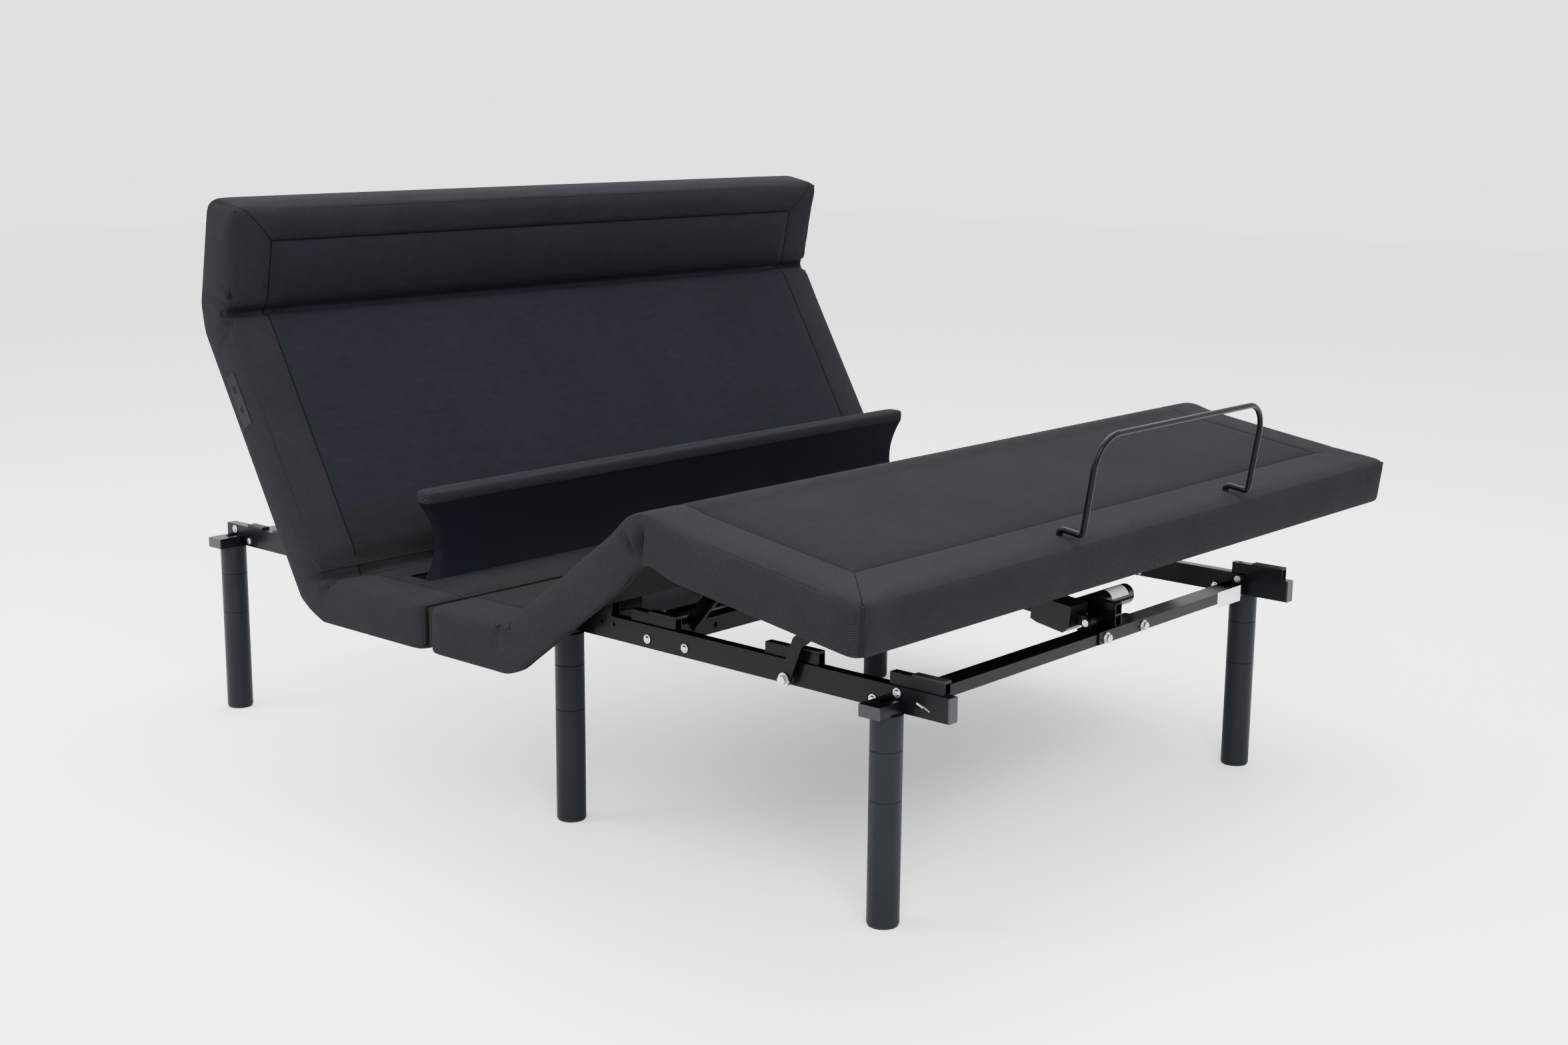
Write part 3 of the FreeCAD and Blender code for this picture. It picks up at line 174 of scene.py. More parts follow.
def make_felt():
    """Short matted fibres: two noises of different grain, stretched along the cloth."""
    group, src, out = new_group("felt", [WEAVE_IN], CLOTH_OUT)
    fine = noise_node(group, src.outputs["Weave"], 620.0, 4.0, 0.65)
    coarse = noise_node(group, stretch(group, src.outputs["Weave"], (30.0, 90.0, 30.0)), 1.0, 3.0)
    cloud = noise_node(group, src.outputs["Weave"], 5.0, 3.0)
    height = total(group, product(group, fine, 0.7), product(group, coarse, 0.3))
    shade = product(group, height, total(group, product(group, cloud, 0.5), 0.62))
    group.links.new(shade, out.inputs["Shade"])
    group.links.new(height, out.inputs["Height"])
    return group


def make_knit():
    """Fine upright ribs of a stretch knit with a soft grain."""
    group, src, out = new_group("knit", [WEAVE_IN, ("Rib", "NodeSocketFloat", 0.0022)], CLOTH_OUT)
    split = group.nodes.new("ShaderNodeSeparateXYZ")
    group.links.new(src.outputs["Weave"], split.inputs[0])
    k = math_node(group, "DIVIDE", math.pi, src.outputs["Rib"])
    rib = math_node(group, "ABSOLUTE", math_node(group, "SINE", product(group, split.outputs[0], k)))
    loop = math_node(group, "ABSOLUTE", math_node(group, "SINE", product(
        group, split.outputs[1], product(group, k, 0.8))))
    cloud = noise_node(group, stretch(group, src.outputs["Weave"], (7.0, 3.0, 7.0)), 1.0, 3.0)
    height = total(group, product(group, rib, 0.7), product(group, loop, 0.3))
    shade = product(group, height, total(group, product(group, cloud, 0.6), 0.6))
    group.links.new(shade, out.inputs["Shade"])
    group.links.new(height, out.inputs["Height"])
    return group


def make_wear():
    """Broad clouding and fine grain on Object coordinates, for roughness and bump of hard parts."""
    group, src, out = new_group("wear", [("Grain", "NodeSocketFloat", 900.0)],
                                [("Cloud", "NodeSocketFloat"), ("Grain", "NodeSocketFloat")])
    place = group.nodes.new("ShaderNodeTexCoord")
    node = group.nodes.new("ShaderNodeTexNoise")
    group.links.new(place.outputs["Object"], node.inputs["Vector"])
    group.links.new(src.outputs["Grain"], node.inputs["Scale"])
    cloud = noise_node(group, place.outputs["Object"], 14.0, 4.0, 0.6)
    group.links.new(cloud, out.inputs["Cloud"])
    group.links.new(node.outputs[0], out.inputs["Grain"])
    return group


GROUPS = {g.name: g for g in (make_twill(), make_felt(), make_knit(), make_wear())}
print("shader groups", sorted(GROUPS))


# %% Stitched seam group
def make_stitch():
    """1 on a seam and 0 beside it, from the nearest of the side seam, the end seam and the mitre."""
    inputs = [WEAVE_IN, ("Seam X", "NodeSocketFloat", 0.7), ("Seam Y", "NodeSocketFloat", 0.7),
              ("Way", "NodeSocketFloat", 1.0), ("Width", "NodeSocketFloat", 0.0016)]
    group, src, out = new_group("stitch", inputs, [("Line", "NodeSocketFloat")])
    split = group.nodes.new("ShaderNodeSeparateXYZ")
    group.links.new(src.outputs["Weave"], split.inputs[0])
    a = math_node(group, "SUBTRACT", math_node(group, "ABSOLUTE", split.outputs[0]), src.outputs["Seam X"])
    b = product(group, math_node(group, "SUBTRACT", split.outputs[1], src.outputs["Seam Y"]),
                  src.outputs["Way"])
    side = math_node(group, "MAXIMUM", math_node(group, "ABSOLUTE", a), b)
    end = math_node(group, "MAXIMUM", math_node(group, "ABSOLUTE", b), a)
    mitre = math_node(group, "ABSOLUTE", math_node(group, "SUBTRACT", a, b))
    outward = product(group, math_node(group, "MINIMUM", a, b), -1.0)
    mitre = math_node(group, "MAXIMUM", mitre, outward)
    near = math_node(group, "MINIMUM", math_node(group, "MINIMUM", side, end), mitre)
    share = math_node(group, "DIVIDE", near, src.outputs["Width"])
    line = math_node(group, "SUBTRACT", 1.0, share, clamp=True)
    group.links.new(line, out.inputs["Line"])
    return group


GROUPS["stitch"] = make_stitch()
print("seam group ready")

# %% [markdown]
# ## Materials
# Hard parts share one recipe: a base colour, a roughness range driven by the clouding and a fine bump.
# Cloth materials take their threads and their stitched seams from the groups. A seam line is also darkened
# in colour: partly the seam's own dark line, partly painted shade of its groove.

# %% Material recipes
HARD_BUMP, CLOTH_BUMP = 0.3, 0.9     # strengths of the bump
CLOTH_SPECULAR = 0.05


def blank(name):
    """A new material with a Principled shader and an output; returns material, tree and shader."""
    material = bpy.data.materials.new(name)
    material.use_nodes = True
    tree = material.node_tree
    tree.nodes.clear()
    shader = tree.nodes.new("ShaderNodeBsdfPrincipled")
    out = tree.nodes.new("ShaderNodeOutputMaterial")
    tree.links.new(shader.outputs[0], out.inputs[0])
    return material, tree, shader


def ramp(tree, fac, low, high):
    """A colour running from low to high as fac goes from 0 to 1."""
    node = tree.nodes.new("ShaderNodeMix")
    node.data_type = "RGBA"
    tree.links.new(fac, node.inputs[0])
    node.inputs[6].default_value = (*low, 1)
    node.inputs[7].default_value = (*high, 1)
    return node.outputs[2]


def bump(tree, shader, height, strength, distance):
    """Feeds a height socket to the shader's normal."""
    node = tree.nodes.new("ShaderNodeBump")
    node.inputs["Strength"].default_value = strength
    node.inputs["Distance"].default_value = distance
    tree.links.new(height, node.inputs["Height"])
    tree.links.new(node.outputs[0], shader.inputs["Normal"])


def hard(name, low, high, rough, metallic=0.0, coat=0.0, grain=900.0, depth=0.00003,
         specular=0.5):
    """A painted, plated or moulded finish."""
    material, tree, shader = blank(name)
    wear = tree.nodes.new("ShaderNodeGroup")
    wear.node_tree = GROUPS["wear"]
    wear.inputs["Grain"].default_value = grain
    tree.links.new(ramp(tree, wear.outputs["Cloud"], low, high), shader.inputs["Base Color"])
    spread = total(tree, product(tree, wear.outputs["Cloud"], rough[1] - rough[0]), rough[0])
    tree.links.new(spread, shader.inputs["Roughness"])
    shader.inputs["Metallic"].default_value = metallic
    shader.inputs["Specular IOR Level"].default_value = specular
    shader.inputs["Coat Weight"].default_value = coat
    bump(tree, shader, wear.outputs["Grain"], HARD_BUMP, depth)
    return material


def cloth(name, group, low, high, rough, depth, seam=None):
    """A fabric that reads its threads from the weave attribute; seam is (x, y, way) of its stitching, whose
    line is darkened, partly its own dark line and partly painted shade of the seam groove.
    """
    material, tree, shader = blank(name)
    place = tree.nodes.new("ShaderNodeAttribute")
    place.attribute_name = "weave"
    threads = tree.nodes.new("ShaderNodeGroup")
    threads.node_tree = GROUPS[group]
    tree.links.new(place.outputs["Vector"], threads.inputs["Weave"])
    shade, height = threads.outputs["Shade"], threads.outputs["Height"]
    if seam:
        line = tree.nodes.new("ShaderNodeGroup")
        line.node_tree = GROUPS["stitch"]
        tree.links.new(place.outputs["Vector"], line.inputs["Weave"])
        for label, value in zip(("Seam X", "Seam Y", "Way"), seam):
            line.inputs[label].default_value = value
        # darkened seam line: partly the seam's own dark line, partly painted shade of the seam groove; the
        # bump lowers it too
        seam_dark_and_shade, lower = product(tree, line.outputs[0], 0.9), product(tree, line.outputs[0], 1.5)
        shade = math_node(tree, "SUBTRACT", shade, seam_dark_and_shade, clamp=True)
        height = math_node(tree, "SUBTRACT", height, lower)
    tree.links.new(ramp(tree, shade, low, high), shader.inputs["Base Color"])
    shader.inputs["Roughness"].default_value = rough
    shader.inputs["Specular IOR Level"].default_value = CLOTH_SPECULAR
    bump(tree, shader, height, CLOTH_BUMP, depth)
    return material


PAINT = hard("gloss_black_paint", (0.0012, 0.0013, 0.0016), (0.0026, 0.0028, 0.0033), (0.24, 0.42),
             coat=0.02, specular=0.05)
POWDER = hard("powder_coat", (0.0028, 0.0036, 0.0047), (0.0056, 0.0070, 0.0088), (0.45, 0.6), grain=1500.0,
              depth=0.00008, specular=0.08)
PLASTIC = hard("black_nylon", (0.0055, 0.0062, 0.0075), (0.0095, 0.0105, 0.0125), (0.42, 0.58),
               grain=1200.0, specular=0.2)
CASE = hard("gearbox_case", (0.003, 0.0032, 0.0036), (0.006, 0.0063, 0.007), (0.3, 0.45),
            grain=1100.0, specular=0.12)
MOTOR = hard("motor_black", (0.003, 0.003, 0.0035), (0.006, 0.006, 0.0065), (0.16, 0.28),
             coat=0.08, specular=0.2)
SOCKET = hard("socket_black", (0.0016, 0.0017, 0.002), (0.0028, 0.003, 0.0034), (0.25, 0.35), specular=0.06)
ZINC = hard("zinc_plate", (0.26, 0.28, 0.29), (0.42, 0.44, 0.45), (0.2, 0.42), metallic=1.0, grain=500.0)
STEEL = hard("ground_steel", (0.4, 0.41, 0.42), (0.54, 0.55, 0.56), (0.12, 0.24), metallic=1.0)
RUBBER = hard("rubber", (0.005, 0.005, 0.0055), (0.01, 0.01, 0.0105), (0.7, 0.88),
              grain=700.0, depth=0.0001, specular=0.2)
BOARD = hard("black_board", (0.003, 0.0029, 0.0028), (0.007, 0.0065, 0.006), (0.6, 0.8),
             grain=260.0, depth=0.0001, specular=0.03)
LEAD = hard("cable_jacket", (0.003, 0.003, 0.0035), (0.006, 0.006, 0.0065), (0.4, 0.55), specular=0.25)
PAPER = hard("blank_paper", (0.62, 0.63, 0.64), (0.7, 0.71, 0.72), (0.6, 0.7), grain=400.0, specular=0.3)
RUST = hard("bare_scratch", (0.16, 0.07, 0.03), (0.42, 0.33, 0.27), (0.45, 0.7), grain=700.0, specular=0.3)
HEAD_SEAM = (0.701, HEAD_Y - 0.065, 1.0)
FOOT_SEAM = (0.687, FOOT_Y + 0.105, -1.0)
CHARCOAL = (0.0008, 0.0007, 0.0010), (0.0105, 0.0098, 0.0125)
FELT_TONES = (0.0012, 0.0013, 0.0019), (0.0092, 0.0099, 0.0135)
SERGE_TONES = (0.0010, 0.0009, 0.0011), (0.0100, 0.0097, 0.0108)
TWILL = cloth("charcoal_twill", "twill", *CHARCOAL, 0.9, 0.0009)
TWILL_HEAD = cloth("charcoal_twill_head", "twill", *CHARCOAL, 0.9, 0.0009, seam=HEAD_SEAM)
TWILL_FOOT = cloth("charcoal_twill_foot", "twill", *CHARCOAL, 0.9, 0.0009, seam=FOOT_SEAM)
FELT = cloth("blue_black_felt", "felt", *FELT_TONES, 0.95, 0.0004, seam=HEAD_SEAM)
SERGE_HEAD = cloth("brown_black_serge", "felt", *SERGE_TONES, 0.93, 0.0003, seam=HEAD_SEAM)
SERGE_FOOT = cloth("charcoal_serge", "felt", *SERGE_TONES, 0.93, 0.0003, seam=FOOT_SEAM)
KNIT = cloth("navy_knit", "knit", (0.0005, 0.0006, 0.0013), (0.0028, 0.0033, 0.0062), 0.85, 0.0003)
print(len(bpy.data.materials), "materials")

# %% Finishes of the CAD nodes
FINISH = {
    PAINT: ["side_rail_left", "side_rail_right", "leg_arms", "rail_plates", "panel_risers", "crossbars",
            "foot_crossbar", "crossbar_sleeve", "pivot_brackets", "foot_lift_frame", "head_lift_frame",
            "foot_links", "link_lugs", "seat_hinges", "back_hinges", "thigh_hinges", "pillow_hinges",
            "foot_hinges", "lumbar_bar", "lumbar_guides", "retainer_bar"],
    POWDER: ["leg_upper_segments", "leg_middle_segments", "leg_lower_segments"],
    PLASTIC: ["tube_end_caps", "foot_lift_rollers", "head_lift_rollers", "lumbar_actuator", "control_box",
              "power_supply", "pillow_actuator_housing"],
    SOCKET: ["usb_panel"],
    CASE: ["foot_actuator_housing", "head_actuator_housing"],
    MOTOR: ["foot_actuator_motor", "head_actuator_motor"],
    ZINC: ["leg_studs", "rail_bolts", "hex_bolts", "actuator_pins", "retainer_grommets"],
    STEEL: ["foot_actuator_rod", "head_actuator_rod", "pillow_actuator_rod"],
    RUBBER: ["rubber_pads"],
    BOARD: ["seat_rear_board", "seat_front_board", "back_board", "pillow_board", "thigh_board",
            "foot_board"],
    LEAD: ["motor_cables"],
}


def shade_hard(node, material, width=0.0008):
    """Gives a CAD node its finish and a narrow bevel that catches the light."""
    node.data.materials.clear()
    node.data.materials.append(material)
    bevel = node.modifiers.new("edge", "BEVEL")
    bevel.width = width
    bevel.segments = 2
    bevel.limit_method = "ANGLE"
    bevel.angle_limit = math.radians(40)
    bevel.harden_normals = True


for material, names in FINISH.items():
    for name in names:
        shade_hard(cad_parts[name], material)
print(sum(len(n) for n in FINISH.values()), "nodes finished")

# %% [markdown]
# ## The deck covers
# A cover is an upturned tray of cloth: a top, four rounded sides and a hem that turns under the timber
# strips. Grid lines are crowded at the seams so that they stay crisp.

# %% Grid of a cover
def crowded(low, high, step, lines, spread=(0.0, 0.003, 0.008)):
    """Places from low to high about step apart, with extra ones on and beside each given line."""
    extra = {low, high}
    for line in lines:
        for s in spread:
            extra.update((line - s, line + s))
    extra = sorted(e for e in extra if low <= e <= high)
    places = [extra[0]]
    for a, b in zip(extra[:-1], extra[1:]):
        n = max(1, round((b - a) / step))
        places.extend(a + (b - a) * np.arange(1, n + 1) / n)
    keep = [places[0]]
    for p in places[1:]:
        if p - keep[-1] > 0.0008:
            keep.append(p)
    return np.array(keep)


def round_corners(x, y, box, r):
    """Pulls the corners of a rectangle in to circles of radius r; the rest of it stays."""
    x0, x1, y0, y1 = box
    cx = np.clip(x, x0 + r, x1 - r)
    cy = np.clip(y, y0 + r, y1 - r)
    dx, dy = x - cx, y - cy
    reach = np.hypot(dx, dy)
    scale = np.maximum(np.abs(dx), np.abs(dy)) / np.where(reach > 0, reach, 1)
    return cx + dx * scale, cy + dy * scale


EDGE_R = 0.012             # round of the upper edge
HEM = 0.026                # width of the cloth turned under
FLAT = 0.001               # a point this near TOP belongs to the top


def tray(y0, y1, xs, ys):
    """Vertices and quads of a cover drawn flat: top grid, rounded edge, side, and hem turned under."""
    nx, ny = len(xs) - 1, len(ys) - 1
    gx, gy = np.meshgrid(xs, ys, indexing="ij")
    index = np.arange((nx + 1) * (ny + 1)).reshape(nx + 1, ny + 1)
    loop = np.concatenate([index[:-1, 0], index[-1, :-1], index[:0:-1, -1], index[0, :0:-1]])
    ax, ay = gx.ravel()[loop], gy.ravel()[loop]
    mid = (y0 + y1) / 2
    half_x, half_y = xs[-1], (ys[-1] - ys[0]) / 2
    phi = np.radians([0, 22, 45, 67, 90])
    rows = [(EDGE_R * (1 - math.sin(p)), TOP - EDGE_R * (1 - math.cos(p))) for p in phi]
    rows += [(0.0, z) for z in np.linspace(TOP - EDGE_R, LOW + 0.006, 7)[1:]]
    rows += [(0.002, LOW + 0.0015), (0.006, LOW), (0.016, LOW), (HEM - 0.002, LOW + 0.001)]
    rows += [(HEM + 0.0006, LOW + rise) for rise in (0.006, 0.03, 0.062)]
    verts = [np.stack([gx.ravel(), gy.ravel(), np.full(gx.size, TOP)], 1)]
    corner = EDGE_R
    box = (-half_x, half_x, ys[0], ys[-1])
    verts[0][:, 0], verts[0][:, 1] = round_corners(verts[0][:, 0], verts[0][:, 1], box, corner)
    faces = [np.stack([index[:-1, :-1], index[1:, :-1], index[1:, 1:], index[:-1, 1:]], -1).reshape(-1, 4)]
    last = loop
    count = gx.size
    for offset, z in rows[1:]:
        sx = (HALF - offset) / half_x
        sy = ((y1 - y0) / 2 - offset) / half_y
        x, y = ax * sx, mid + (ay - (ys[0] + ys[-1]) / 2) * sy
        r = max(corner + EDGE_R - offset, 0.004)
        x, y = round_corners(x, y, (x.min(), x.max(), y.min(), y.max()), r)
        verts.append(np.stack([x, y, np.full(len(x), z)], 1))
        ring = count + np.arange(len(loop))
        faces.append(np.stack([last, np.roll(last, -1), np.roll(ring, -1), ring], 1)[:, ::-1])
        last = ring
        count += len(loop)
    return np.concatenate(verts), np.concatenate(faces)


def mesh_object(name, verts, faces, materials, face_material=None):
    """A new mesh object at the origin from numpy arrays, smooth shaded."""
    mesh = bpy.data.meshes.new(name)
    mesh.from_pydata(verts.tolist(), [], faces.tolist())
    for material in materials:
        mesh.materials.append(material)
    if face_material is not None:
        mesh.polygons.foreach_set("material_index", face_material.astype(np.int32))
    mesh.polygons.foreach_set("use_smooth", np.ones(len(mesh.polygons), bool))
    mesh.update()
    obj = bpy.data.objects.new(name, mesh)
    bpy.context.scene.collection.objects.link(obj)
    return obj


# %% [markdown]
# ### Puffing the cover up
# Blender's cloth solver blows the flat cover up gently. The hem, the seams and the lines over the
# hinges are pinned, so the cloth crowns between them. The movement is then capped.

# %% Cloth simulation
def simulate(obj, pinned, cap, frames=20, pressure=4.0):
    """Runs the cloth solver on a copy and returns its vertices, none further than cap from the start."""
    start = np.empty(len(obj.data.vertices) * 3)
    obj.data.vertices.foreach_get("co", start)
    start = start.reshape(-1, 3)
    group = obj.vertex_groups.new(name="pin")
    group.add(np.flatnonzero(pinned).tolist(), 1.0, "REPLACE")
    solver = obj.modifiers.new("cloth", "CLOTH")
    settings = solver.settings
    settings.quality = 4
    settings.mass = 0.4
    settings.tension_stiffness = 12
    settings.compression_stiffness = 10
    settings.shear_stiffness = 8
    settings.bending_stiffness = 0.4
    settings.use_pressure = True
    settings.uniform_pressure_force = pressure
    settings.vertex_group_mass = "pin"
    settings.effector_weights.gravity = 0.0
    solver.collision_settings.use_collision = False
    scene = bpy.context.scene
    scene.frame_start, scene.frame_end = 1, frames
    solver.point_cache.frame_start, solver.point_cache.frame_end = 1, frames
    for f in range(1, frames + 1):
        scene.frame_set(f)
    graph = bpy.context.evaluated_depsgraph_get()
    mesh = obj.evaluated_get(graph).to_mesh()
    end = np.empty(len(mesh.vertices) * 3)
    mesh.vertices.foreach_get("co", end)
    end = end.reshape(-1, 3)
    obj.modifiers.remove(solver)
    obj.vertex_groups.clear()
    scene.frame_set(1)
    move = np.nan_to_num(end - start)
    reach = np.linalg.norm(move, axis=1)
    move *= (cap * np.tanh(reach / cap) / np.maximum(reach, 1e-9))[:, None]
    print(obj.name, "puffed by up to", round(float(np.linalg.norm(move, axis=1).max()) * 1000, 2), "mm")
    return start + move


# %% [markdown]
# ### Bending the flat cover
# A point turns about the hinge by a share of the fold that grows smoothly across the zone of the
# bend. The share is found on the folded cloth, so that unfolding gives the flat cover back.

# %% Folding
def turned(p, centre, angle):
    """Points turned about an axis along X through centre = (y, z)."""
    c, s = np.cos(angle), np.sin(angle)
    y, z = p[:, 1] - centre[0], p[:, 2] - centre[1]
    return np.stack([p[:, 0], centre[0] + y * c - z * s, centre[1] + y * s + z * c], 1)


def fold(p, centre, angle, zone, beyond):
    """p bent at one hinge. beyond is +1 when the head side turns and -1 when the foot side does."""
    half = angle / 2
    way = np.array([0.0, beyond * math.cos(half), beyond * math.sin(half)])
    middle = np.array([0.0, centre[0], centre[1]])
    start, end = middle - way * zone / 2, middle + way * zone / 2
    flat_t = np.clip(beyond * (p[:, 1] - centre[0]) / zone + 0.5, 0, 1)
    w = flat_t * flat_t * (3 - 2 * flat_t)
    for _ in range(60):
        q = turned(p, centre, w * angle)
        t = np.clip((q - start) @ way / zone, 0, 1)
        w = 0.6 * w + 0.4 * t * t * (3 - 2 * t)
    return turned(p, centre, w * angle), start, end


def place_of(point, folds):
    """A row-frame point after the later folds of the list have turned it rigidly."""
    q = np.array([point], float)
    for centre, angle in folds:
        q = turned(q, centre, np.array([angle]))
    return q[0]


BACK_AXIS, TILT_AXIS = (BACK_Y, AXIS_Z), (TILT_Y, AXIS_Z)
THIGH_AXIS, KNEE_AXIS = (THIGH_Y, AXIS_Z), (KNEE_Y, AXIS_Z)

# %% Seams, grooves and weave
def groove(p, lines, depth, width):
    """Lowers the top along lines of constant y: depth times a bell curve of the distance."""
    top = p[:, 2] > TOP - EDGE_R
    for line in lines:
        bell = np.exp(-((p[:, 1] - line) / width) ** 2)
        p[top, 2] -= depth * bell[top]
    return p


def weave_of(p):
    """Place on the flat cloth: the top is (x, y), and each side carries on from the edge it hangs from."""
    x, y, z = p.T
    drop = np.clip(TOP - z, 0, None)
    side = np.abs(np.abs(x) - HALF) < 0.011
    u = x + np.sign(x) * drop * side
    v = y + drop * (~side) * np.sign(y - (y.min() + y.max()) / 2)
    return np.stack([u, v, np.zeros(len(u))], 1)


GRID_X, GRID_Y = 0.016, 0.012      # spacing of the grid of a cover
PUFF = 0.0035              # furthest that the cloth may rise


def half_deck(name, y0, y1, seam_x, seam_y, hinge_ys, cloths, slot=False):
    """The flat, puffed cover of one half of the deck, with its seams and its flat cloth places."""
    x_lines = [-seam_x, seam_x]
    y_lines = [seam_y, PATCH_Y] if slot else [seam_y]
    if slot:
        x_lines += [-SLOT_HALF, SLOT_HALF]
        y_lines += [SLOT_Y0, SLOT_Y1]
    xs = crowded(-HALF + EDGE_R, HALF - EDGE_R, GRID_X, x_lines)
    ys = crowded(y0 + EDGE_R, y1 - EDGE_R, GRID_Y, y_lines)
    ys = np.unique(np.concatenate([ys] + [np.linspace(h - 0.05, h + 0.05, 21) for h in hinge_ys]).round(5))
    ys = ys[np.concatenate([[True], np.diff(ys) > 0.0012])]
    p, faces = tray(y0, y1, xs, ys)
    middle = p[faces].mean(1)
    if slot:
        hole = (np.abs(middle[:, 0]) < SLOT_HALF) & (middle[:, 1] > SLOT_Y0) & (middle[:, 1] < SLOT_Y1)
        hole &= middle[:, 2] > TOP - FLAT
        faces, middle = faces[~hole], middle[~hole]
    inner = (np.abs(middle[:, 0]) < seam_x) & (middle[:, 2] > TOP - FLAT)
    inner &= (middle[:, 1] < seam_y) if seam_y > 0 else (middle[:, 1] > seam_y)
    upper = inner & (middle[:, 1] > PATCH_Y)
    obj = mesh_object(name, p, faces, cloths, inner.astype(int) + upper)
    x, y, z = p.T
    pinned = z < LOW + 0.012
    top = z > TOP - FLAT
    seam_reach = (y < seam_y) if seam_y > 0 else (y > seam_y)
    pinned |= top & (np.abs(np.abs(x) - seam_x) < 0.002) & seam_reach
    pinned |= top & (np.abs(y - seam_y) < 0.002) & (np.abs(x) < seam_x)
    for h in hinge_ys:
        pinned |= top & (np.abs(y - h) < 0.012)
    if slot:
        pinned |= top & (np.abs(x) < SLOT_HALF + 0.02) & (y > SLOT_Y0 - 0.01) & (y < SLOT_Y1 + 0.01)
    weave = weave_of(p)
    return obj, simulate(obj, pinned, PUFF), weave


def sew(p, weave, seam, depth=0.0016, width=0.0035):
    """Presses the inset seams into the top: depth times a bell curve of the distance to the seam."""
    seam_x, seam_y, _ = seam
    u, v = weave[:, 0], weave[:, 1]
    inside = (v < seam_y) if seam_y > 0 else (v > seam_y)
    dx = np.where(inside, np.abs(np.abs(u) - seam_x), np.hypot(np.abs(u) - seam_x, v - seam_y))
    dy = np.where(np.abs(u) < seam_x, np.abs(v - seam_y), 1.0)
    d = np.minimum(dx, dy)
    p = p.copy()
    p[:, 2] -= depth * np.exp(-(d / width) ** 2)
    return p


def pinch(p, hinge, folds):
    """Short valleys pressed into the edge at a bend.

    s is below 0 on the top, where it runs inwards, and above 0 on the side, where it runs down. A valley
    (offset, lean, depth, width, s, length) leans with s and is a bell curve across and along.
    """
    x, y, z = p.T
    s = (TOP - z) - (HALF - np.abs(x))
    out = np.clip((s + EDGE_R) / (2 * EDGE_R), 0, 1)
    out = out * out * (3 - 2 * out)
    near = (np.abs(x) > HALF - 0.014) & (z > LOW + 0.0012) | (z > TOP - EDGE_R)
    push = np.zeros(len(p))
    for offset, lean, depth, width, centre, length in folds:
        line = hinge + offset + 0.002 * np.sign(x) + lean * (s - centre)
        push += depth * np.exp(-((y - line) / width) ** 2) * np.exp(-((s - centre) / length) ** 2)
    push = np.where(near, push, 0)
    q = p.copy()
    q[:, 0] -= np.sign(x) * push * out
    q[:, 2] -= push * (1 - out)
    return q


def bolster(p, y0, y1, half_x, height):
    """Swells the top between two lines: height times a half wave of y, fading at the sides."""
    t = np.clip((p[:, 1] - y0) / (y1 - y0), 0, 1)
    side = np.clip((half_x - np.abs(p[:, 0])) / 0.03, 0, 1)
    lift = height * np.sin(np.pi * t) ** 0.8 * side * side * (3 - 2 * side)
    q = p.copy()
    q[:, 2] += np.where(p[:, 2] > TOP - EDGE_R, lift, 0)
    return q


# folds of each bend: offset, lean, depth, width, s, length
TILT_FOLDS = [(0.0, 0.0, 0.012, 0.007, -0.03, 0.06), (-0.017, -0.30, 0.011, 0.007, 0.010, 0.020),
              (0.018, 0.35, 0.011, 0.007, 0.010, 0.022), (-0.001, 0.0, -0.007, 0.009, 0.012, 0.018),
              (-0.036, -0.6, 0.008, 0.008, 0.016, 0.022), (0.038, 0.7, 0.007, 0.009, -0.010, 0.030)]
BACK_FOLDS = [(-0.013, -0.30, 0.012, 0.007, 0.002, 0.018), (0.015, 0.35, 0.012, 0.007, 0.004, 0.018),
              (0.001, 0.0, -0.006, 0.008, 0.006, 0.016), (0.036, 0.7, 0.007, 0.009, 0.012, 0.022),
              (0.0, 0.0, 0.005, 0.009, -0.05, 0.05)]
THIGH_FOLDS = [(-0.012, -0.25, 0.009, 0.006, 0.000, 0.013), (0.013, 0.25, 0.010, 0.006, -0.002, 0.013),
               (0.000, 0.0, -0.004, 0.007, 0.004, 0.014), (-0.016, -0.15, 0.005, 0.009, 0.026, 0.020),
               (0.014, 0.12, 0.005, 0.009, 0.026, 0.020)]
KNEE_FOLDS = [(-0.008, 0.30, 0.016, 0.008, 0.046, 0.022), (0.022, -0.42, 0.010, 0.008, 0.046, 0.024),
              (0.007, 0.0, -0.005, 0.007, 0.050, 0.018)]

head_obj, head_p, head_weave = half_deck(
    "head_cover", SPLIT_Y + SPLIT_GAP, HEAD_Y, *HEAD_SEAM[:2], [BACK_Y, TILT_Y],
    [TWILL_HEAD, SERGE_HEAD, FELT], slot=True)
foot_obj, foot_p, foot_weave = half_deck(
    "foot_cover", FOOT_Y, SPLIT_Y - SPLIT_GAP, *FOOT_SEAM[:2], [THIGH_Y, KNEE_Y], [TWILL_FOOT, SERGE_FOOT])
print("cover vertices", len(head_p), len(foot_p))

# %% Fold and cut the covers
def store(obj, p, weave):
    """Writes the finished vertices and their cloth places."""
    obj.data.vertices.foreach_set("co", p.astype(np.float32).ravel())
    attribute = obj.data.attributes.new("weave", "FLOAT_VECTOR", "POINT")
    attribute.data.foreach_set("vector", weave.astype(np.float32).ravel())
    obj.data.update()


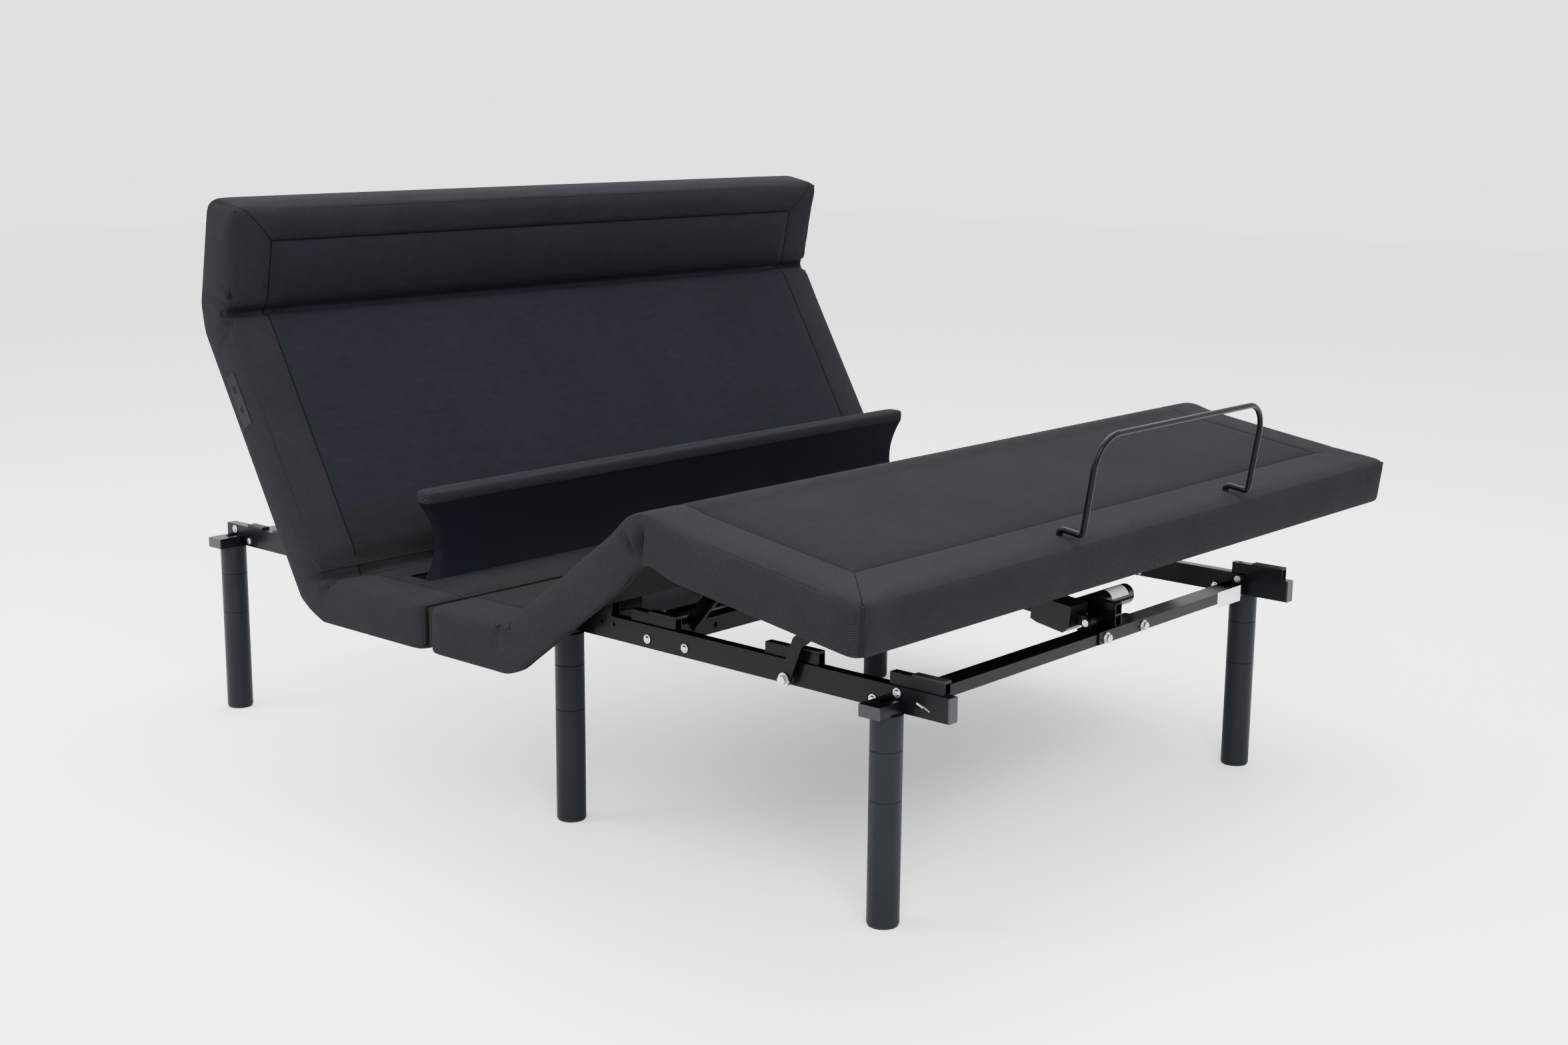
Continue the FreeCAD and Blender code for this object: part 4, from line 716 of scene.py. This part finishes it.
def cut_off(obj, name, flat_y, keep_above):
    """A copy of obj with only the faces on one side of a line across the flat cloth."""
    mesh = obj.data.copy()
    mesh.name = name
    copy = bpy.data.objects.new(name, mesh)
    bpy.context.scene.collection.objects.link(copy)
    edit = bmesh.new()
    edit.from_mesh(mesh)
    layer = edit.verts.layers.float_vector["weave"]
    above = {f: sum(v[layer].y for v in f.verts) / len(f.verts) > flat_y for f in edit.faces}
    gone = [f for f in edit.faces if above[f] != keep_above]
    bmesh.ops.delete(edit, geom=gone, context="FACES")
    edit.to_mesh(mesh)
    edit.free()
    return copy


# length of cloth over which each bend spreads
TILT_ZONE, BACK_ZONE, KNEE_ZONE, THIGH_ZONE = 0.045, 0.085, 0.12, 0.085
PILLOW_SWELL = 0.010       # rise of the bolster on the pillow panel

head_p = groove(sew(head_p, head_weave, HEAD_SEAM), [TILT_Y], 0.010, 0.009)
head_p = groove(head_p, [BACK_Y], 0.006, 0.010)
head_p = bolster(head_p, TILT_Y, HEAD_SEAM[1], HEAD_SEAM[0], PILLOW_SWELL)
head_p = pinch(pinch(head_p, TILT_Y, TILT_FOLDS), BACK_Y, BACK_FOLDS)
head_q, tilt_start, tilt_end = fold(head_p, TILT_AXIS, TILT, TILT_ZONE, 1)
head_q, back_start, back_end = fold(head_q, BACK_AXIS, BACK, BACK_ZONE, 1)
tilt_start, tilt_end = (place_of(p, [(BACK_AXIS, BACK)]) for p in (tilt_start, tilt_end))
store(head_obj, head_q, head_weave)
foot_p = groove(sew(foot_p, foot_weave, FOOT_SEAM), [THIGH_Y], 0.003, 0.012)
foot_p = pinch(pinch(foot_p, THIGH_Y, THIGH_FOLDS), KNEE_Y, KNEE_FOLDS)
foot_q, knee_start, knee_end = fold(foot_p, KNEE_AXIS, KNEE, KNEE_ZONE, -1)
foot_q, thigh_start, thigh_end = fold(foot_q, THIGH_AXIS, -THIGH, THIGH_ZONE, -1)
knee_start, knee_end = (place_of(p, [(THIGH_AXIS, -THIGH)]) for p in (knee_start, knee_end))
store(foot_obj, foot_q, foot_weave)

MID_BACK = (BACK_Y + TILT_Y) / 2
MID_THIGH = (THIGH_Y + KNEE_Y) / 2
covers = [
    (cut_off(head_obj, "seat_back_cover", MID_BACK, False), ROOT, "back", back_start, back_end,
     ["seat_rear_pad", "back_pad"]),
    (cut_off(head_obj, "back_pillow_cover", MID_BACK, True), "back", "pillow", tilt_start, tilt_end,
     ["pillow_pad"]),
    (cut_off(foot_obj, "seat_thigh_cover", MID_THIGH, True), ROOT, "thigh", thigh_start, thigh_end,
     ["seat_front_pad", "thigh_pad"]),
    (cut_off(foot_obj, "thigh_foot_cover", MID_THIGH, False), "thigh", "foot", knee_start, knee_end,
     ["foot_pad"]),
]
for obj in (head_obj, foot_obj):
    bpy.data.objects.remove(obj)
for obj, a, b, start, end, pads in covers:
    subdivision = obj.modifiers.new("smooth", "SUBSURF")
    subdivision.levels = subdivision.render_levels = 1
    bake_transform(obj)
    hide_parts(*pads)
    print(obj.name, len(obj.data.polygons), "faces")

# %% [markdown]
# ## Lumbar bar
# A slim cushion on a sleeve of stretch cloth. The sleeve narrows halfway up, where the cloth is
# pulled between the bar and the deck.

# %% Lumbar cushion and sleeve
BAR_Y, BAR_HALF, BAR_LOW, BAR_TOP, BAR_D = 0.238 + SHIFT, 0.664, 0.546, 0.572, 0.044
SLEEVE_LOW = 0.388         # inside the slot, just under the bar when it is down


def ring(half_x, half_y, n_long, n_short, r):
    """Points round a rectangle with rounded corners, in order."""
    t = np.linspace(-1, 1, n_long, endpoint=False)
    s = np.linspace(-1, 1, n_short, endpoint=False)
    x = np.concatenate([t, np.ones(n_short), -t, -np.ones(n_short)]) * half_x
    y = np.concatenate([-np.ones(n_long), s, np.ones(n_long), -s]) * half_y
    return round_corners(x, y, (-half_x, half_x, -half_y, half_y), r)


def skin(rings):
    """Quads joining rings of equal length, each a (x, y, z) array; the ends stay open."""
    n = len(rings[0])
    verts = np.concatenate(rings)
    faces = []
    for i in range(len(rings) - 1):
        a = i * n + np.arange(n)
        faces.append(np.stack([a, np.roll(a, -1), np.roll(a, -1) + n, a + n], 1))
    return verts, np.concatenate(faces)


def sleeve():
    """The sleeve: half width and half depth shrink by a parabola of the height between its ends."""
    rings = []
    for h in np.linspace(0, 1, 26):
        pull = 4 * h * (1 - h)
        half_x = 0.662 - 0.032 * pull
        half_y = 0.020 - 0.006 * pull + 0.006 * (1 - h) ** 3
        x, y = ring(half_x, half_y, 120, 8, min(0.012, half_y * 0.8))
        z = SLEEVE_LOW + (BAR_LOW + 0.004 - SLEEVE_LOW) * h
        fold_amount = 0.0012 * (1 - h) ** 2 * np.sin(x * 61 + 3 * np.sin(x * 17))
        rings.append(np.stack([x, BAR_Y + y + fold_amount * np.sign(y), np.full(len(x), z)], 1))
    return skin(rings)


p, faces = sleeve()
skirt = mesh_object("lumbar_sleeve", p, faces, [KNIT])
weave = np.stack([p[:, 0] + p[:, 1], p[:, 2], p[:, 1] * 0], 1)
store(skirt, p, weave)
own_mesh(skirt)
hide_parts("lumbar_skirt")
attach(skirt, ROOT)
print(skirt.name, len(skirt.data.polygons), "faces")


def cushion():
    """Closed rounded bar: rings shrink towards the top and bottom by a superellipse."""
    rings = []
    steps = np.linspace(-1, 1, 15)
    for s in steps:
        pull = (1 - abs(s) ** 4) ** 0.25 if abs(s) < 1 else 0.0
        half_y = BAR_D / 2 * (0.35 + 0.65 * pull)
        half_x = BAR_HALF - BAR_D / 2 * 0.65 * (1 - pull)
        x, y = ring(half_x, half_y, 110, 6, half_y * 0.8)
        z = (BAR_LOW + BAR_TOP) / 2 + s * (BAR_TOP - BAR_LOW) / 2
        rings.append(np.stack([x, BAR_Y + y, np.full(len(x), z)], 1))
    n = len(rings[0])
    verts, faces = skin(rings)
    low = np.arange(n)
    high = low + n * (len(rings) - 1)
    k = n // 2
    caps = [[low[i], low[-i - 1], low[-i - 2], low[i + 1]] for i in range(k - 1)]
    caps += [[high[i], high[i + 1], high[-i - 2], high[-i - 1]] for i in range(k - 1)]
    return verts, np.concatenate([faces, np.array(caps)])


p, faces = cushion()
bar = mesh_object("lumbar_cushion", p, faces, [TWILL])
puffed = simulate(bar, p[:, 2] < BAR_LOW + 0.004, 0.002, frames=12)
store(bar, puffed, np.stack([p[:, 0], p[:, 1] + p[:, 2], p[:, 2] * 0], 1))
subdivision = bar.modifiers.new("smooth", "SUBSURF")
subdivision.levels = subdivision.render_levels = 1
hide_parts("lumbar_pad")
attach(bar, "lumbar")
print(bar.name, len(bar.data.polygons), "faces")

# %% [markdown]
# ## Small things
# Two blank paper labels and a scratch in the paint of a rail. Each is a thin closed piece that rides
# the part it sits on.

# %% Small closed pieces
def slab(centre, u, v, w):
    """A closed box from its centre and three half edges."""
    c, u, v, w = (np.array(a, float) for a in (centre, u, v, w))
    square = [(-1, -1), (1, -1), (1, 1), (-1, 1)]
    signs = np.array([(*corner, end) for end in (-1, 1) for corner in square])
    verts = c + signs @ np.stack([u, v, w])
    faces = np.array([[0, 3, 2, 1], [4, 5, 6, 7], [0, 1, 5, 4], [1, 2, 6, 5], [2, 3, 7, 6], [3, 0, 4, 7]])
    return verts, (faces if np.dot(np.cross(u, v), w) > 0 else faces[:, ::-1])


def joined(shapes):
    """Several (vertices, faces) pairs as one."""
    verts, faces, count = [], [], 0
    for v, f in shapes:
        verts.append(v)
        faces.append(f + count)
        count += len(v)
    return np.concatenate(verts), np.concatenate(faces)


def wrap(x0, x1, y, z, r, a0, a1, t=0.0004, n=16):
    """A closed patch of thickness t laid round a cylinder along X from angle a0 to a1."""
    a = np.radians(np.linspace(a0, a1, n))
    rows = []
    for x, radius in ((x0, r), (x1, r), (x1, r + t), (x0, r + t)):
        rows.append(np.stack([np.full(n, x), y + radius * np.cos(a), z + radius * np.sin(a)], 1))
    verts = np.concatenate(rows)
    i = np.arange(n - 1)
    faces = []
    for k in range(4):
        a, b = i + k * n, i + (k + 1) % 4 * n
        faces.append(np.stack([a, a + 1, b + 1, b], 1))
    faces.append(np.array([[0, n, 2 * n, 3 * n], [n - 1, 4 * n - 1, 3 * n - 1, 2 * n - 1]]))
    return verts, np.concatenate(faces)


def small(name, shape, material, body):
    """One flat-shaded piece, its faces turned outwards, that rides a body."""
    obj = mesh_object(name, *shape, [material])
    if sum(f.normal.dot(f.center - Vector(np.mean(shape[0], 0))) for f in obj.data.polygons) < 0:
        obj.data.flip_normals()
    obj.data.polygons.foreach_set("use_smooth", np.zeros(len(obj.data.polygons), bool))
    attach(obj, body)
    print(name, len(shape[0]), "vertices")


BAR_FRONT = -0.722 + SHIFT         # front of the foot crossbar
LABEL = slab((0.447, BAR_FRONT - 0.0004, 0.3475), (0.041, 0, 0), (0, 0, 0.0145), (0, -0.0003, 0))
small("crossbar_label", LABEL, PAPER, ROOT)
MOTOR_Y, MOTOR_Z, MOTOR_R = -0.640 + SHIFT, 0.380, 0.019     # axis and radius of the foot motor
BAND = wrap(0.149, 0.2015, MOTOR_Y, MOTOR_Z, MOTOR_R + 0.0002, 95, 165)
small("motor_label", BAND, PAPER, "foot_drive")
RAIL_FACE = -0.525         # outer face of the left rail
SCRATCH = joined([
    slab((RAIL_FACE - 0.0001, -0.754 + SHIFT, 0.3590), (0.0002, 0, 0), (0, 0.006, 0.0022),
         (0, -0.0006, 0.0014)),
    slab((RAIL_FACE - 0.0001, -0.766 + SHIFT, 0.3556), (0.0002, 0, 0), (0, 0.007, 0.0030),
         (0, -0.0003, 0.0006))])
small("rail_scratch", SCRATCH, RUST, ROOT)

# %% [markdown]
# ## Floor, light and camera
# A pale floor, a large soft light from above and the front, and a pale world.

# %% Stage
def plane(name, size, z):
    """A square as one quad, 2 * size wide."""
    corners = np.array([[-size, -size, z], [size, -size, z], [size, size, z], [-size, size, z]])
    return mesh_object(name, corners, np.array([[0, 1, 2, 3]]), [])


floor = plane("floor", 14.0, -0.0005)
pale, tree, shader = blank("pale_floor")
shader.inputs["Base Color"].default_value = (0.88, 0.88, 0.88, 1)
shader.inputs["Roughness"].default_value = 0.6
floor.data.materials.append(pale)


def area_light(name, place, target, size, watts):
    """A square soft light aimed at a point."""
    data = bpy.data.lights.new(name, "AREA")
    data.size = size
    data.energy = watts
    light = bpy.data.objects.new(name, data)
    light.location = place
    light.rotation_euler = (Vector(target) - Vector(place)).to_track_quat("-Z", "Y").to_euler()
    bpy.context.scene.collection.objects.link(light)


WORLD_COLOUR, WORLD_STRENGTH = (0.92, 0.93, 0.95, 1), 2.8
area_light("key", (-3.2, -3.4, 3.6), (0, 0, 0.5), 2.6, 570)
area_light("fill", (-3.5, 2.8, 2.6), (0, 0, 0.5), 2.6, 280)
area_light("top", (0.6, 0.2, 4.2), (0, 0, 0.4), 3.4, 470)
world = bpy.data.worlds.new("studio")
world.use_nodes = True
world.node_tree.nodes["Background"].inputs[0].default_value = WORLD_COLOUR
world.node_tree.nodes["Background"].inputs[1].default_value = WORLD_STRENGTH
bpy.context.scene.world = world

# %% Camera
EYE = (-2.9164, -2.5864 + SHIFT, 1.2655)
LENS = 47.98               # millimetres, on a sensor 36 mm wide
YAW, PITCH, ROLL = (math.radians(a) for a in (48.63, 11.81, 0.508))
ahead = Vector((math.sin(YAW) * math.cos(PITCH), math.cos(YAW) * math.cos(PITCH), -math.sin(PITCH)))
right = Vector((math.cos(YAW), -math.sin(YAW), 0))
up = right.cross(ahead)
right, up = right * math.cos(ROLL) + up * math.sin(ROLL), up * math.cos(ROLL) - right * math.sin(ROLL)
camera_data = bpy.data.cameras.new("camera")
camera_data.lens = LENS
camera_data.sensor_width = 36.0
camera_data.clip_end = 60.0
camera = bpy.data.objects.new("camera", camera_data)
camera.matrix_world = Matrix.Translation(EYE) @ Matrix(
    (right, up, -ahead)).transposed().to_4x4()
bpy.context.scene.collection.objects.link(camera)
bpy.context.scene.camera = camera
